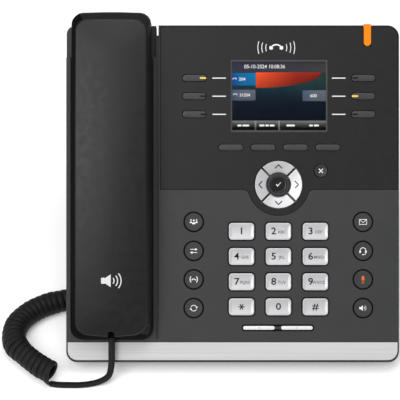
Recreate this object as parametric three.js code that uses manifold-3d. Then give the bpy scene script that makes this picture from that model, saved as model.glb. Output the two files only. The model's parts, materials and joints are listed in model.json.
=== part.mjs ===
// Desk IP phone: a corded handset in its cradle, a colour display, 37 keys and a sloping two-part
// housing on a clip-on stand. Millimetres, +Z up, X to the right, Y away from the user.
//
// Most parts are drawn in the face frame: u to the right, v up the sloping face, w out of it.
// Its origin is the middle of the face's bottom edge.

import * as THREE from 'three';
import { mergeVertices } from 'three/addons/utils/BufferGeometryUtils.js';
import Module from 'manifold-3d';

const wasm = await Module();
wasm.setup();

// ---------------------------------------------------------------- driving dimensions

const FACE_TILT = Math.PI / 4;
const GAP = 0.3;

const BODY_LEFT = -101;
const BODY_RIGHT = 101;
const BODY_HEIGHT = 204.5;
const BODY_DEPTH = 30;
const TOP_DEPTH = 24;
const TAPER_FROM = 150;
const LIP_DEPTH = 12;
const WALL = 2.2;
const FRONT_WALL = 3;
const SEAM = -11;

const FOOT_HEIGHT = 1.5;
const FACE_LIFT = FOOT_HEIGHT + GAP + LIP_DEPTH * Math.cos(FACE_TILT);
const CENTRE_Y = ((BODY_HEIGHT + TOP_DEPTH) * Math.cos(FACE_TILT)) / 2;

const GRILLE = { u: 60, v: 45, radius: 17.5, half: 0.9, offsets: [-15, -10, -5, 0, 5, 10, 15] };

const DIVIDER_LEFT = -46.5;
const DIVIDER_RIGHT = -45;
const PANEL_LEFT = -43.8;
const PANEL_RIGHT = 100.2;
const PANEL_LINE = 105;
const PANEL_TOP = 203.7;
const PANEL_THICK = 1.5;
const LEDGE = 2.5;

const SCREEN = { u: 28.2, v: 161.7, width: 58.8, height: 44 };

const NAV = { u: 27.9, v: 107.8, outer: 14.4, inner: 7.3, gap: 1.15, bezel: 18.6, fillet: 3.6 };
const NAV_HOLE = 14.9;
const OK_RADIUS = 6.9;
const CANCEL = { u: 53.6, v: 116.2, radius: 4 };

const LINE_KEY = { width: 14.4, height: 4, round: 2, raise: 0.9 };
const LINE_COLUMNS = [-23.2, 79.4];
const LINE_ROWS = [172.5, 161.5, 150.5];
const SOFT_KEY = { width: 14.8, height: 3.7, round: 1.85, raise: 0.9 };
const SOFT_COLUMNS = [-1, 18.6, 38.2, 57.8];
const SOFT_ROW = 130.4;

const NUMBER_KEY = { width: 15.5, height: 10.4, round: 2.1, raise: 1.4 };
const NUMBER_COLUMNS = [5.4, 27.8, 50.2];
const NUMBER_ROWS = [79.5, 64.2, 48.9, 33.7];
const NUMBER_NAMES = ['1', '2', '3', '4', '5', '6', '7', '8', '9', 'star', '0', 'hash'];

const ROUND_KEY = { radius: 5.4, raise: 0.7 };
const ROUND_COLUMNS = [-23.6, 79.1];
const ROUND_ROWS = [85.2, 67.6, 50.3, 32.9];
const ROUND_NAMES = [
  ['conference', 'transfer', 'hold', 'redial'],
  ['message', 'headset', 'mute', 'speaker'],
];

const KEY_FOOT = { low: -4.3, high: -3.3, spread: 0.9 };
const ROCKER = { u: 27.5, v: 20.9, width: 42.4, height: 2.3, raise: 0.7 };

const STRIP = { left: -100.1, right: 100.1, low: 1.3, high: 12.1, thick: 1 };
const LAMP = { u: 81.8, half: 2.1, low: 192.1, high: 205.3, raise: 0.8, drop: 8 };

const HANDSET = { u: -73.2, half: 24, low: 15.1, high: 211.8, parting: 5, round: 7 };
const CREST = { top: 20.5, arch: 6, crown: 1.5, side: 5, bands: [2.4, 3.2, 4.8, 4.8] };
const CHANNEL = { left: -98.4, right: -48.2, low: 13.8, floor: -4, scoop: 185 };
const EAR_CUP = { v: 178, width: 40, height: 36, round: 9, floor: -10 };
const MOUTH_CUP = { v: 35, width: 40, height: 27, round: 9, floor: -10 };
const WELL_CLEARANCE = 2;
const WELL_FLOOR = -12;
const PLUG = { width: 7.6, low: 1.5, high: 8, length: 12 };
const PLUG_START = 20.3;

const BAY = { half: 54, low: 82, high: 120, floor: -13.5 };
const PORTS = { half: 47.7, low: -27.4, high: -14.6, start: 120.3, end: 137 };
const PORT_MIDDLE = -21;
const POWER_JACK = { u: -39, width: 9, height: 8.8, depth: 9 };
const NETWORK_JACK = { u: -20, width: 11.8, height: 8.8, depth: 13 };
const COMPUTER_JACK = { u: 0, width: 11.8, height: 8.8, depth: 13 };
const HEADSET_JACK = { u: 20, width: 8.2, height: 8.6, depth: 12.6 };
const HANDSET_JACK = { u: 38, width: 8.2, height: 8.6, depth: 12.6 };
const JACKS = [POWER_JACK, NETWORK_JACK, COMPUTER_JACK, HEADSET_JACK, HANDSET_JACK];

const STAND = { half: 55, low: 124, high: 149, thick: 3.2, foot: 155, toe: 137 };
const STAND_WINDOW = { half: 28, low: 22, high: 70 };
const HOOKS = { columns: [-35, 35], half: 4, low: 141, high: 144, reach: 3.6 };

const CORD = { width: 3.9, sides: 8 };
const COIL = { width: 13.5, sides: 10 };

// The curly cord's route, in the phone's own frame: a lead from the handset down to the table, the
// coil beside and under the phone, and a lead up to the jack in the bay.
const HANDSET_LEAD = [
  [-73.2, -70, 27.78], [-73.2, -78.2, 19.1], [-73.5, -85, 11.4], [-75.2, -88, 6.4],
  [-80.5, -89.3, 3.2], [-90, -90.8, 2.15], [-101, -91.6, 2.1], [-106.3, -91.1, 2.1],
  [-110.2, -89.3, 2.15],
];
const COIL_ROUTE = [
  [-109.1, -86.4, 6.85], [-117.7, -80.3, 6.85], [-126.6, -71.9, 6.85], [-132.8, -64, 6.85],
  [-134.9, -56, 6.85], [-133, -47, 6.85], [-126, -37.6, 6.85], [-115.5, -30.8, 6.85],
  [-101, -26, 6.85], [-70, -16, 6.85], [-20, -8, 6.85], [25, -5, 6.85], [48, -1, 6.85],
  [62, 11, 6.85], [60, 27, 6.85], [47, 34.5, 6.85], [34, 35.4, 6.85],
];
const BASE_LEAD = [
  [33.5, 36.6, 2.4], [24, 35.8, 2.9], [16, 30.5, 9], [14, 22, 25], [19, 13, 45],
  [29, 8.4, 60], [36.2, 10.8, 71.2], [38, 16.45, 77.74],
];

// ---------------------------------------------------------------- materials

const material = (color, roughness, metalness = 0) =>
  new THREE.MeshStandardMaterial({ color, roughness, metalness });

const MATTE_BLACK = material(0x26272a, 0.55);
const PANEL_BLACK = material(0x2b2c2f, 0.4);
const KEY_GREY = material(0x4a4b4e, 0.5);
const KEY_SILVER = material(0xd8dadc, 0.35);
const BRUSHED = material(0xc9cbcd, 0.32, 0.9);
const RUBBER = material(0x151516, 0.85);
const CORD_BLACK = material(0x1c1c1e, 0.6);
const AMBER = material(0xff8c00, 0.3);
const GLASS = material(0x101418, 0.08);
const STEEL = material(0xa8abb0, 0.35, 0.9);
const BOARD_GREEN = material(0x1f5a36, 0.5);
const SILICONE = material(0x8f9296, 0.7);

// ---------------------------------------------------------------- outlines and solids

/** Points along an arc, from one angle to another, in radians. */
function arc(x, y, radius, from, to, steps) {
  return Array.from({ length: steps + 1 }, (_, i) => {
    const angle = from + ((to - from) * i) / steps;
    return new THREE.Vector2(x + radius * Math.cos(angle), y + radius * Math.sin(angle));
  });
}

/** A rectangle with rounded corners, radii given as [low left, low right, high right, high left]. */
function roundedRectangle(left, right, low, high, radii, steps = 4) {
  const [a, b, c, d] = Array.isArray(radii) ? radii : [radii, radii, radii, radii];
  const quarter = Math.PI / 2;
  return [
    ...arc(left + a, low + a, a, 2 * quarter, 3 * quarter, steps),
    ...arc(right - b, low + b, b, 3 * quarter, 4 * quarter, steps),
    ...arc(right - c, high - c, c, 0, quarter, steps),
    ...arc(left + d, high - d, d, quarter, 2 * quarter, steps),
  ];
}

/** A rounded rectangle about a centre. */
function centred(u, v, width, height, round, steps = 2) {
  const [x, y] = [width / 2, height / 2];
  return roundedRectangle(u - x, u + x, v - y, v + y, Math.min(round, x, y), steps);
}

/** A pill: two half circles and the straight sides between them. */
function pill(u, v, width, height, steps = 6) {
  const r = height / 2;
  const x = width / 2 - r;
  return [
    ...arc(u + x, v, r, -Math.PI / 2, Math.PI / 2, steps),
    ...arc(u - x, v, r, Math.PI / 2, 1.5 * Math.PI, steps),
  ];
}

const circle = (u, v, radius, steps = 20) => arc(u, v, radius, 0, 2 * Math.PI, steps).slice(0, -1);

/** The outline moved inwards by a distance; its points run anticlockwise. */
function inset(points, distance) {
  return points.map((point, i) => {
    const before = points[(i + points.length - 1) % points.length];
    const after = points[(i + 1) % points.length];
    const a = point.clone().sub(before).normalize();
    const b = after.clone().sub(point).normalize();
    const inward = new THREE.Vector2(-a.y - b.y, a.x + b.x);
    const share = (2 * distance) / inward.lengthSq();
    return point.clone().addScaledVector(inward, share);
  });
}

/** A closed geometry as a solid that can be joined and cut. */
function solid(geometry) {
  const bare = geometry.clone();
  bare.deleteAttribute('normal');
  bare.deleteAttribute('uv');
  const merged = mergeVertices(bare, 1e-4);
  return new wasm.Manifold(new wasm.Mesh({
    numProp: 3,
    vertProperties: new Float32Array(merged.attributes.position.array),
    triVerts: new Uint32Array(merged.index.array),
  }));
}

/** The solid back as a geometry. */
function geometryOf(shape) {
  const mesh = shape.getMesh();
  const geometry = new THREE.BufferGeometry();
  geometry.setAttribute('position', new THREE.BufferAttribute(new Float32Array(mesh.vertProperties), 3));
  geometry.setIndex(new THREE.BufferAttribute(new Uint32Array(mesh.triVerts), 1));
  geometry.computeVertexNormals();
  return geometry;
}

/** An outline in (u, v), with holes, between two heights w. */
function plateGeometry(points, low, high, holes = []) {
  const shape = new THREE.Shape(points);
  shape.holes = holes.map((hole) => new THREE.Path(hole));
  const geometry = new THREE.ExtrudeGeometry(shape, { depth: high - low, bevelEnabled: false });
  return geometry.translate(0, 0, low);
}

const plate = (points, low, high, holes) => solid(plateGeometry(points, low, high, holes));

/** A side profile in (v, w), or (y, z), extruded across from one u to another. */
function across(points, left, right) {
  const shape = new THREE.Shape(points);
  const geometry = new THREE.ExtrudeGeometry(shape, { depth: right - left, bevelEnabled: false });
  const turn = new THREE.Matrix4().makeBasis(
    new THREE.Vector3(0, 1, 0),
    new THREE.Vector3(0, 0, 1),
    new THREE.Vector3(1, 0, 0),
  );
  return solid(geometry.applyMatrix4(turn).translate(left, 0, 0));
}

/** An end profile in (u, w), extruded up the face from one v to another. */
function along(points, low, high) {
  const shape = new THREE.Shape(points);
  const geometry = new THREE.ExtrudeGeometry(shape, { depth: high - low, bevelEnabled: false });
  return solid(geometry.rotateX(Math.PI / 2).translate(0, high, 0));
}

const block = (left, right, low, high, back, front) => solid(
  new THREE.BoxGeometry(right - left, high - low, front - back)
    .translate((left + right) / 2, (low + high) / 2, (back + front) / 2),
);

const points = (...pairs) => pairs.map(([x, y]) => new THREE.Vector2(x, y));

const joined = (...shapes) => shapes.reduce((all, shape) => all.add(shape));

const without = (shape, ...cuts) => cuts.reduce((left, cut) => left.subtract(cut), shape);

// ---------------------------------------------------------------- assembly

const phone = new THREE.Group();

const body = new THREE.Group();
body.position.y = -CENTRE_Y;
phone.add(body);

const face = new THREE.Group();
face.rotation.x = FACE_TILT;
face.position.z = FACE_LIFT;
body.add(face);

/** Adds one named part. */
function add(group, name, shape, look, u = 0, v = 0) {
  const geometry = shape.isBufferGeometry ? shape : geometryOf(shape);
  const mesh = new THREE.Mesh(geometry, look);
  mesh.name = name;
  mesh.position.set(u, v, 0);
  group.add(mesh);
  return mesh;
}

/** A point of the face frame as (y, z) before the whole is centred. */
function sideways(v, w) {
  const [c, s] = [Math.cos(FACE_TILT), Math.sin(FACE_TILT)];
  return [v * c - w * s, v * s + w * c + FACE_LIFT];
}

// ---------------------------------------------------------------- housing

const BODY_CORNERS = [6.5, 6.5, 7, 5];

/** The body's outer form, shrunk by a distance. */
function bodyForm(shrink) {
  const plan = roundedRectangle(
    BODY_LEFT + shrink,
    BODY_RIGHT - shrink,
    shrink,
    BODY_HEIGHT - shrink,
    BODY_CORNERS.map((radius) => radius - shrink),
    6,
  );
  const landEnd = BODY_DEPTH - LIP_DEPTH;
  const side = points(
    [0, -LIP_DEPTH],
    [landEnd, -BODY_DEPTH],
    [TAPER_FROM, -BODY_DEPTH],
    [BODY_HEIGHT, -TOP_DEPTH],
    [BODY_HEIGHT, 0],
    [0, 0],
  );
  return plate(plan, -BODY_DEPTH - 5, 5)
    .intersect(across(inset(side, shrink), BODY_LEFT - 5, BODY_RIGHT + 5));
}

/** A cup's well in the cradle, grown by a distance. */
const wellOutline = (cup, grow = 0) => centred(
  HANDSET.u,
  cup.v,
  cup.width + 2 * (WELL_CLEARANCE + grow),
  cup.height + 2 * (WELL_CLEARANCE + grow),
  cup.round + grow,
  3,
);

/** The display panel's outline, grown by a distance: a straight line that dips around the keys. */
function panelOutline(grow = 0) {
  const line = PANEL_LINE - grow;
  const bezel = NAV.bezel + grow;
  const fillet = NAV.fillet - grow;
  const drop = NAV.v - line + fillet;
  const reach = Math.sqrt((bezel + fillet) ** 2 - drop ** 2);
  const lean = Math.atan2(drop, reach);
  const half = Math.PI / 2;
  const corners = [0.5, 0.5, 6.2, 1.5];
  const frame = roundedRectangle(
    PANEL_LEFT - grow, PANEL_RIGHT + grow, line, PANEL_TOP + grow, corners, 5,
  );
  return [
    ...arc(NAV.u - reach, line - fillet, fillet, half, lean, 4),
    ...arc(NAV.u, NAV.v, bezel, Math.PI + lean, 2 * Math.PI - lean, 20).slice(1, -1),
    ...arc(NAV.u + reach, line - fillet, fillet, Math.PI - lean, half, 4),
    ...frame.slice(6),
    ...frame.slice(0, 6),
  ];
}

const LAMP_SLOT = { left: LAMP.u - LAMP.half - GAP, right: LAMP.u + LAMP.half + GAP };

function keypadOpenings() {
  const grow = (key, by) => [key.width + 2 * by, key.height + 2 * by, key.round + by];
  const numbers = NUMBER_ROWS.flatMap((v) =>
    NUMBER_COLUMNS.map((u) => centred(u, v, ...grow(NUMBER_KEY, 0.6))));
  const rounds = ROUND_COLUMNS.flatMap((u) =>
    ROUND_ROWS.map((v) => circle(u, v, ROUND_KEY.radius + 0.75)));
  return [...numbers, ...rounds, pill(ROCKER.u, ROCKER.v, ROCKER.width + 0.7, ROCKER.height + 0.7)];
}

/** The four cuts that the cradle has in the face: channel, scooped top and two wells. */
function cradleCuts() {
  return [
    plate(
      roundedRectangle(
        CHANNEL.left, CHANNEL.right, CHANNEL.low, BODY_HEIGHT + 9, [7, 7, 0.5, 0.5],
      ),
      CHANNEL.floor,
      5,
    ),
    block(BODY_LEFT - 1, DIVIDER_LEFT, CHANNEL.scoop, BODY_HEIGHT + 1, CHANNEL.floor, 5),
    plate(wellOutline(EAR_CUP), WELL_FLOOR, 0),
    plate(wellOutline(MOUTH_CUP), WELL_FLOOR, 0),
  ];
}

const HOOK_PIVOT = { v: 152, w: -10.6, radius: 1.5 };
const HOOK_SLOT = { half: 3.6, low: 131, high: 141.5 };

/** Two posts under the cradle floor that carry the hook lever's pin. */
function hookPosts() {
  const pin = new THREE.CylinderGeometry(HOOK_PIVOT.radius + GAP, HOOK_PIVOT.radius + GAP, 20, 8)
    .rotateZ(Math.PI / 2)
    .translate(HANDSET.u, HOOK_PIVOT.v, HOOK_PIVOT.w);
  const post = (left) => block(left, left + 2, 149, 155, -13.6, CHANNEL.floor - 1);
  return without(joined(post(HANDSET.u - 6.2), post(HANDSET.u + 4.2)), solid(pin));
}

function frontHousing() {
  const cradleBack = CHANNEL.floor - FRONT_WALL;
  const room = without(
    bodyForm(WALL).intersect(block(-200, 200, -10, 300, -60, -FRONT_WALL)),
    block(BODY_LEFT - 1, DIVIDER_RIGHT + 0.2, -1, BODY_HEIGHT + 1, cradleBack, 5),
  );
  const shell = bodyForm(0).subtract(room).intersect(block(-200, 200, -10, 300, SEAM, 10));
  const wellWalls = [EAR_CUP, MOUTH_CUP].map((cup) =>
    plate(wellOutline(cup, WALL), WELL_FLOOR - WALL, cradleBack + 1));
  const lug = block(HANDSET.u - 4, HANDSET.u + 4, 157.6, 159.4, WELL_FLOOR - 1, -5.5);
  const ledge = [
    plate(panelOutline(GAP), -PANEL_THICK - GAP, 5),
    plate(panelOutline(-LEDGE), -FRONT_WALL - 1, 5),
  ];
  const strip = roundedRectangle(
    STRIP.left - GAP, STRIP.right + GAP, STRIP.low - GAP, STRIP.high + GAP,
    [6, 6, 0.4, 0.4], 4,
  );
  const housing = without(
    joined(shell, ...wellWalls, hookPosts()),
    ...cradleCuts(),
    ...ledge,
    ...keypadOpenings().map((hole) => plate(hole, -FRONT_WALL - 1, 5)),
    plate(strip, -STRIP.thick - GAP, 5),
    block(DIVIDER_LEFT, DIVIDER_RIGHT, STRIP.high + 2, BODY_HEIGHT + 1, -1.2, 5),
    block(DIVIDER_LEFT, DIVIDER_RIGHT, BODY_HEIGHT - 6, BODY_HEIGHT + 1, -60, 5),
    block(LAMP_SLOT.left, LAMP_SLOT.right, 202.5, 207, -1.7, 5),
    block(LAMP_SLOT.left, LAMP_SLOT.right, 203, 207, -LAMP.drop - GAP, 5),
    block(
      HANDSET.u - HOOK_SLOT.half, HANDSET.u + HOOK_SLOT.half,
      HOOK_SLOT.low, HOOK_SLOT.high, -9, 0,
    ),
  );
  return housing.add(lug);
}

function rearHousing() {
  const bay = (grow) => block(
    -BAY.half - grow, BAY.half + grow, BAY.low - grow, BAY.high + grow, -60, BAY.floor + grow,
  );
  const room = bodyForm(WALL).subtract(bay(WALL));
  const shell = bodyForm(0).subtract(room)
    .intersect(block(-200, 200, -10, 300, -60, SEAM - GAP));
  const hookSlots = HOOKS.columns.map((u) => block(
    u - HOOKS.half - GAP, u + HOOKS.half + GAP, HOOKS.low - GAP, HOOKS.high + 3, -60, -20,
  ));
  const grille = GRILLE.offsets.map((offset) => {
    const reach = Math.sqrt(GRILLE.radius ** 2 - offset ** 2);
    const v = GRILLE.v + offset;
    return block(
      GRILLE.u - reach, GRILLE.u + reach, v - GRILLE.half, v + GRILLE.half,
      -BODY_DEPTH - 1, WALL - BODY_DEPTH + 1,
    );
  });
  return without(
    shell,
    ...grille,
    bay(0),
    block(
      -PORTS.half - GAP, PORTS.half + GAP, BAY.high - 1, BAY.high + WALL + 1,
      PORTS.low - GAP, PORTS.high + GAP,
    ),
    block(DIVIDER_LEFT, DIVIDER_RIGHT, BODY_HEIGHT - 6, BODY_HEIGHT + 1, -60, 5),
    ...hookSlots,
  );
}

add(face, 'front_housing', frontHousing(), MATTE_BLACK);
add(face, 'rear_housing', rearHousing(), MATTE_BLACK);

add(face, 'trim_strip', plateGeometry(
  roundedRectangle(STRIP.left, STRIP.right, STRIP.low, STRIP.high, [5.7, 5.7, 0.2, 0.2], 4),
  -STRIP.thick,
  0,
), BRUSHED);

// ---------------------------------------------------------------- display panel

function displayPanel() {
  const hole = (key, by) => [key.width + 2 * by, key.height + 2 * by];
  const lines = LINE_COLUMNS.flatMap((u) =>
    LINE_ROWS.map((v) => pill(u, v, ...hole(LINE_KEY, 0.35))));
  const softs = SOFT_COLUMNS.map((u) => pill(u, SOFT_ROW, ...hole(SOFT_KEY, 0.35)));
  const panel = plate(panelOutline(), -PANEL_THICK, 0, [
    ...lines,
    ...softs,
    circle(NAV.u, NAV.v, NAV_HOLE, 32),
    circle(CANCEL.u, CANCEL.v, CANCEL.radius + 0.4),
    centred(SCREEN.u, SCREEN.v, SCREEN.width, SCREEN.height, 0.6),
  ]);
  return panel.subtract(block(LAMP_SLOT.left, LAMP_SLOT.right, LAMP.low - GAP, 210, -9, 5));
}

add(face, 'display_panel', displayPanel(), PANEL_BLACK);

add(face, 'display_window', plateGeometry(
  centred(SCREEN.u, SCREEN.v, SCREEN.width - 0.6, SCREEN.height - 0.6, 0.4), -1.3, -0.2,
), GLASS);

add(face, 'lcd_module', plateGeometry(
  centred(SCREEN.u, SCREEN.v - 1, 66, 51, 1), -5.2, -1.8,
), STEEL);

/** The lamp's light guide lies on the face and turns down over its top edge. */
function messageLamp() {
  const side = points(
    [LAMP.low, -1.4], [203.3, -1.4], [203.3, -LAMP.drop], [LAMP.high, -LAMP.drop],
    [LAMP.high, LAMP.raise - 1], [LAMP.high - 1, LAMP.raise], [LAMP.low, LAMP.raise],
  );
  const plan = roundedRectangle(
    LAMP.u - LAMP.half, LAMP.u + LAMP.half, LAMP.low, LAMP.high + 1, [2, 2, 0.1, 0.1],
  );
  return across(side, LAMP.u - 9, LAMP.u + 9).intersect(plate(plan, -20, 20));
}

add(face, 'message_lamp', messageLamp(), AMBER);

// ---------------------------------------------------------------- keys

/** A key: its cap, drawn about its own centre, on a wider foot that stays under the panel. */
function keySolid(outline, width, height, raise) {
  const [x, y] = [width / 2 + KEY_FOOT.spread, height / 2 + KEY_FOOT.spread];
  return joined(
    plate(outline, KEY_FOOT.high - 0.4, raise),
    block(-x, x, -y, y, KEY_FOOT.low, KEY_FOOT.high),
  );
}

const lineShape = keySolid(
  pill(0, 0, LINE_KEY.width, LINE_KEY.height), LINE_KEY.width, LINE_KEY.height, LINE_KEY.raise,
);
LINE_COLUMNS.forEach((u, column) => LINE_ROWS.forEach((v, row) => {
  add(face, `line_key_${column * 3 + row + 1}`, lineShape, KEY_GREY, u, v);
}));

const softShape = keySolid(
  pill(0, 0, SOFT_KEY.width, SOFT_KEY.height), SOFT_KEY.width, SOFT_KEY.height, SOFT_KEY.raise,
);
SOFT_COLUMNS.forEach((u, i) => add(face, `soft_key_${i + 1}`, softShape, KEY_GREY, u, SOFT_ROW));

const numberShape = keySolid(
  centred(0, 0, NUMBER_KEY.width, NUMBER_KEY.height, NUMBER_KEY.round),
  NUMBER_KEY.width,
  NUMBER_KEY.height,
  NUMBER_KEY.raise,
);
NUMBER_NAMES.forEach((name, i) => {
  const u = NUMBER_COLUMNS[i % 3];
  const v = NUMBER_ROWS[Math.floor(i / 3)];
  add(face, `number_key_${name}`, numberShape, KEY_SILVER, u, v);
});

const roundShape = keySolid(
  circle(0, 0, ROUND_KEY.radius, 18), 2 * ROUND_KEY.radius, 2 * ROUND_KEY.radius, ROUND_KEY.raise,
);
ROUND_COLUMNS.forEach((u, column) => ROUND_ROWS.forEach((v, row) => {
  add(face, `${ROUND_NAMES[column][row]}_key`, roundShape, KEY_GREY, u, v);
}));

/** A quarter of the navigation ring, about the direction given. */
function navSegment(direction) {
  const slack = (radius) => Math.asin(NAV.gap / 2 / radius);
  const quarter = Math.PI / 4;
  const from = direction - quarter;
  const to = direction + quarter;
  return plateGeometry([
    ...arc(0, 0, NAV.outer, from + slack(NAV.outer), to - slack(NAV.outer), 7),
    ...arc(0, 0, NAV.inner, to - slack(NAV.inner), from + slack(NAV.inner), 5),
  ], KEY_FOOT.low, 1.1);
}

['right', 'up', 'left', 'down'].forEach((name, i) => {
  add(face, `nav_key_${name}`, navSegment((i * Math.PI) / 2), KEY_SILVER, NAV.u, NAV.v);
});

add(face, 'ok_key', plateGeometry(
  circle(0, 0, OK_RADIUS, 24), KEY_FOOT.low, 0.9,
), KEY_GREY, NAV.u, NAV.v);

const cancelShape = keySolid(
  circle(0, 0, CANCEL.radius, 16), 2 * CANCEL.radius, 2 * CANCEL.radius, 0.5,
);
add(face, 'cancel_key', cancelShape, KEY_GREY, CANCEL.u, CANCEL.v);

/** The volume rocker tips about a short rib under its middle. */
const rocker = joined(
  plate(pill(0, 0, ROCKER.width, ROCKER.height), -3.6, ROCKER.raise),
  block(-4, 4, -3, 3, -5.2, -3.5),
);
add(face, 'volume_rocker', rocker, KEY_SILVER, ROCKER.u, ROCKER.v);

// ---------------------------------------------------------------- inside the body

add(face, 'key_membrane', plateGeometry(
  roundedRectangle(-36, 96, 14, 184, 3), -6.7, -5.5,
), SILICONE);

add(face, 'main_board', plateGeometry(
  roundedRectangle(-38, 96, 10, 198, 2), -8.6, -7,
), BOARD_GREEN);

/** The loudspeaker: magnet, basket and rim, turned about its own axis. */
function loudspeaker() {
  const profile = points(
    [0, 0], [20, 0], [20, 1.6], [17.5, 2.2], [11, 6], [11, 9], [0, 9],
  );
  return new THREE.LatheGeometry(profile, 24).rotateX(Math.PI / 2).translate(GRILLE.u, GRILLE.v, -26.6);
}

add(face, 'loudspeaker', loudspeaker(), STEEL);

/** All the sockets in one block behind the bay, their mouths facing down the slope. */
function portBlock() {
  const jacks = JACKS.map((jack) => block(
    jack.u - jack.width / 2, jack.u + jack.width / 2, PORTS.start - 1, PORTS.start + jack.depth,
    PORT_MIDDLE - jack.height / 2, PORT_MIDDLE + jack.height / 2,
  ));
  return without(
    block(-PORTS.half, PORTS.half, PORTS.start, PORTS.end, PORTS.low, PORTS.high),
    ...jacks,
  );
}

add(face, 'port_block', portBlock(), STEEL);

/** The hook lever lies under the cradle, and its nose reaches up to the handset. */
function hookLever() {
  const { u } = HANDSET;
  const pin = new THREE.CylinderGeometry(HOOK_PIVOT.radius, HOOK_PIVOT.radius, 12.4, 8)
    .rotateZ(Math.PI / 2)
    .translate(u, HOOK_PIVOT.v, HOOK_PIVOT.w);
  return joined(
    solid(pin),
    block(u - 3, u + 3, 132, HOOK_PIVOT.v, -11.5, -9.8),
    block(u - 3, u + 3, 132, 137, -11, 1.1),
  );
}

add(face, 'hook_lever', hookLever(), KEY_GREY);

// ---------------------------------------------------------------- handset

/** The handset's outline seen from above, shrunk by a distance. */
const handsetPlan = (shrink) => roundedRectangle(
  HANDSET.u - HANDSET.half + shrink,
  HANDSET.u + HANDSET.half - shrink,
  HANDSET.low + shrink,
  HANDSET.high - shrink,
  HANDSET.round - shrink,
);

/** The height of the handset's crest at a place along its length. */
function crestAt(v) {
  const { low, high } = HANDSET;
  return CREST.top - CREST.arch * ((2 * v - low - high) / (high - low)) ** 2;
}

/** The handset's outline moved in by a distance on each side, at a height for each place along it. */
function handsetRing([left, right, low, high], heightAt) {
  const corners = roundedRectangle(
    HANDSET.u - HANDSET.half + left,
    HANDSET.u + HANDSET.half - right,
    HANDSET.low + low,
    HANDSET.high - high,
    Math.max(1, HANDSET.round - Math.max(left, right, low, high)),
  );
  const parts = new Map([[4, 3], [9, 10], [14, 3], [19, 10]]);
  const outline = corners.flatMap((point, i) => {
    const next = corners[(i + 1) % corners.length];
    const share = parts.get(i) ?? 1;
    return Array.from({ length: share }, (_, k) => point.clone().lerp(next, k / share));
  });
  return outline.map(({ x, y }) => new THREE.Vector3(x, y, heightAt(y)));
}

/** A closed solid through rings of equal length, one above the other. */
function stacked(rings) {
  const count = rings[0].length;
  const sides = rings.slice(1).flatMap((_, k) => rings[0].flatMap((__, i) => {
    const [a, b] = [k * count + i, k * count + ((i + 1) % count)];
    return [a, b, b + count, a, b + count, a + count];
  }));
  const flat = (ring) => ring.map(({ x, y }) => new THREE.Vector2(x, y));
  const last = (rings.length - 1) * count;
  const floor = THREE.ShapeUtils.triangulateShape(flat(rings[0]), []).flatMap(([a, b, c]) => [a, c, b]);
  const roof = THREE.ShapeUtils.triangulateShape(flat(rings.at(-1)), []).flat().map((i) => i + last);
  const geometry = new THREE.BufferGeometry().setFromPoints(rings.flat());
  geometry.setIndex([...floor, ...sides, ...roof]);
  return solid(geometry);
}

/** The crowned and arched back, shrunk by a distance. */
function handsetBack(shrink) {
  const { crown, side, bands } = CREST;
  const insets = (share, extra = 0) => bands.map((band) => shrink + band * share + extra);
  const under = (depth) => (v) => crestAt(v) - shrink - depth;
  return stacked([
    handsetRing(insets(0), () => HANDSET.parting - 10),
    handsetRing(insets(0), under(crown + side)),
    handsetRing(insets(0.85), under(crown + 0.7)),
    handsetRing(insets(1), under(crown)),
    handsetRing(insets(1, 6), under(crown * 0.5)),
    handsetRing(insets(1, 13), under(0)),
  ]);
}

/** The notch that the cord leaves by; it is open towards the cradle, so the handset lifts off past it. */
const cordNotch = (low) => block(
  HANDSET.u - PLUG.width / 2 - 0.6, HANDSET.u + PLUG.width / 2 + 0.6,
  HANDSET.low - 5, PLUG_START + 0.2, low, 30,
);

const backShell = without(
  handsetBack(0).intersect(block(-200, 0, -10, 300, HANDSET.parting, 40)),
  handsetBack(WALL),
  cordNotch(PLUG.low - 0.4),
);
add(face, 'handset_back_shell', backShell, MATTE_BLACK);

/** The side that faces the ear: a tray that is arched at the grip, with two cups. */
function handsetFront(shrink) {
  const { low, high, parting } = HANDSET;
  const roof = parting - GAP + (shrink > 0 ? 10 : 0);
  const side = points(
    [low, 0], [low + 3, -2.4], [50, -2.4], [58, 1.5], [150, 1.5], [158, -2.4],
    [high - 4, -2.4], [high, 0], [high, roof], [low, roof],
  );
  const tray = plate(handsetPlan(shrink), -20, 40)
    .intersect(across(inset(side, shrink), -150, 0));
  const cup = ({ v, width, height, round, floor }) => plate(
    centred(HANDSET.u, v, width - 2 * shrink, height - 2 * shrink, round - shrink, 3),
    floor + shrink,
    0.5,
  );
  return joined(tray, cup(EAR_CUP), cup(MOUTH_CUP));
}

const frontShell = without(
  handsetFront(0).intersect(block(-200, 0, -10, 300, -40, HANDSET.parting - GAP)),
  handsetFront(WALL),
  cordNotch(-20),
);
add(face, 'handset_front_shell', frontShell, MATTE_BLACK);

/** The receiver sits in the ear cup, facing its grille. */
const receiver = new THREE.LatheGeometry(
  points([0, 0], [14, 0], [14, 2.5], [9, 4], [9, 6.5], [0, 6.5]), 20,
).rotateX(Math.PI / 2).translate(HANDSET.u, EAR_CUP.v, EAR_CUP.floor + WALL + GAP);
add(face, 'receiver_capsule', receiver, STEEL);

const handsetPlug = block(
  HANDSET.u - PLUG.width / 2, HANDSET.u + PLUG.width / 2,
  PLUG_START, PLUG_START + PLUG.length, PLUG.low, PLUG.high,
);
add(face, 'handset_plug', handsetPlug, GLASS);

// ---------------------------------------------------------------- stand and feet

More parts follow.
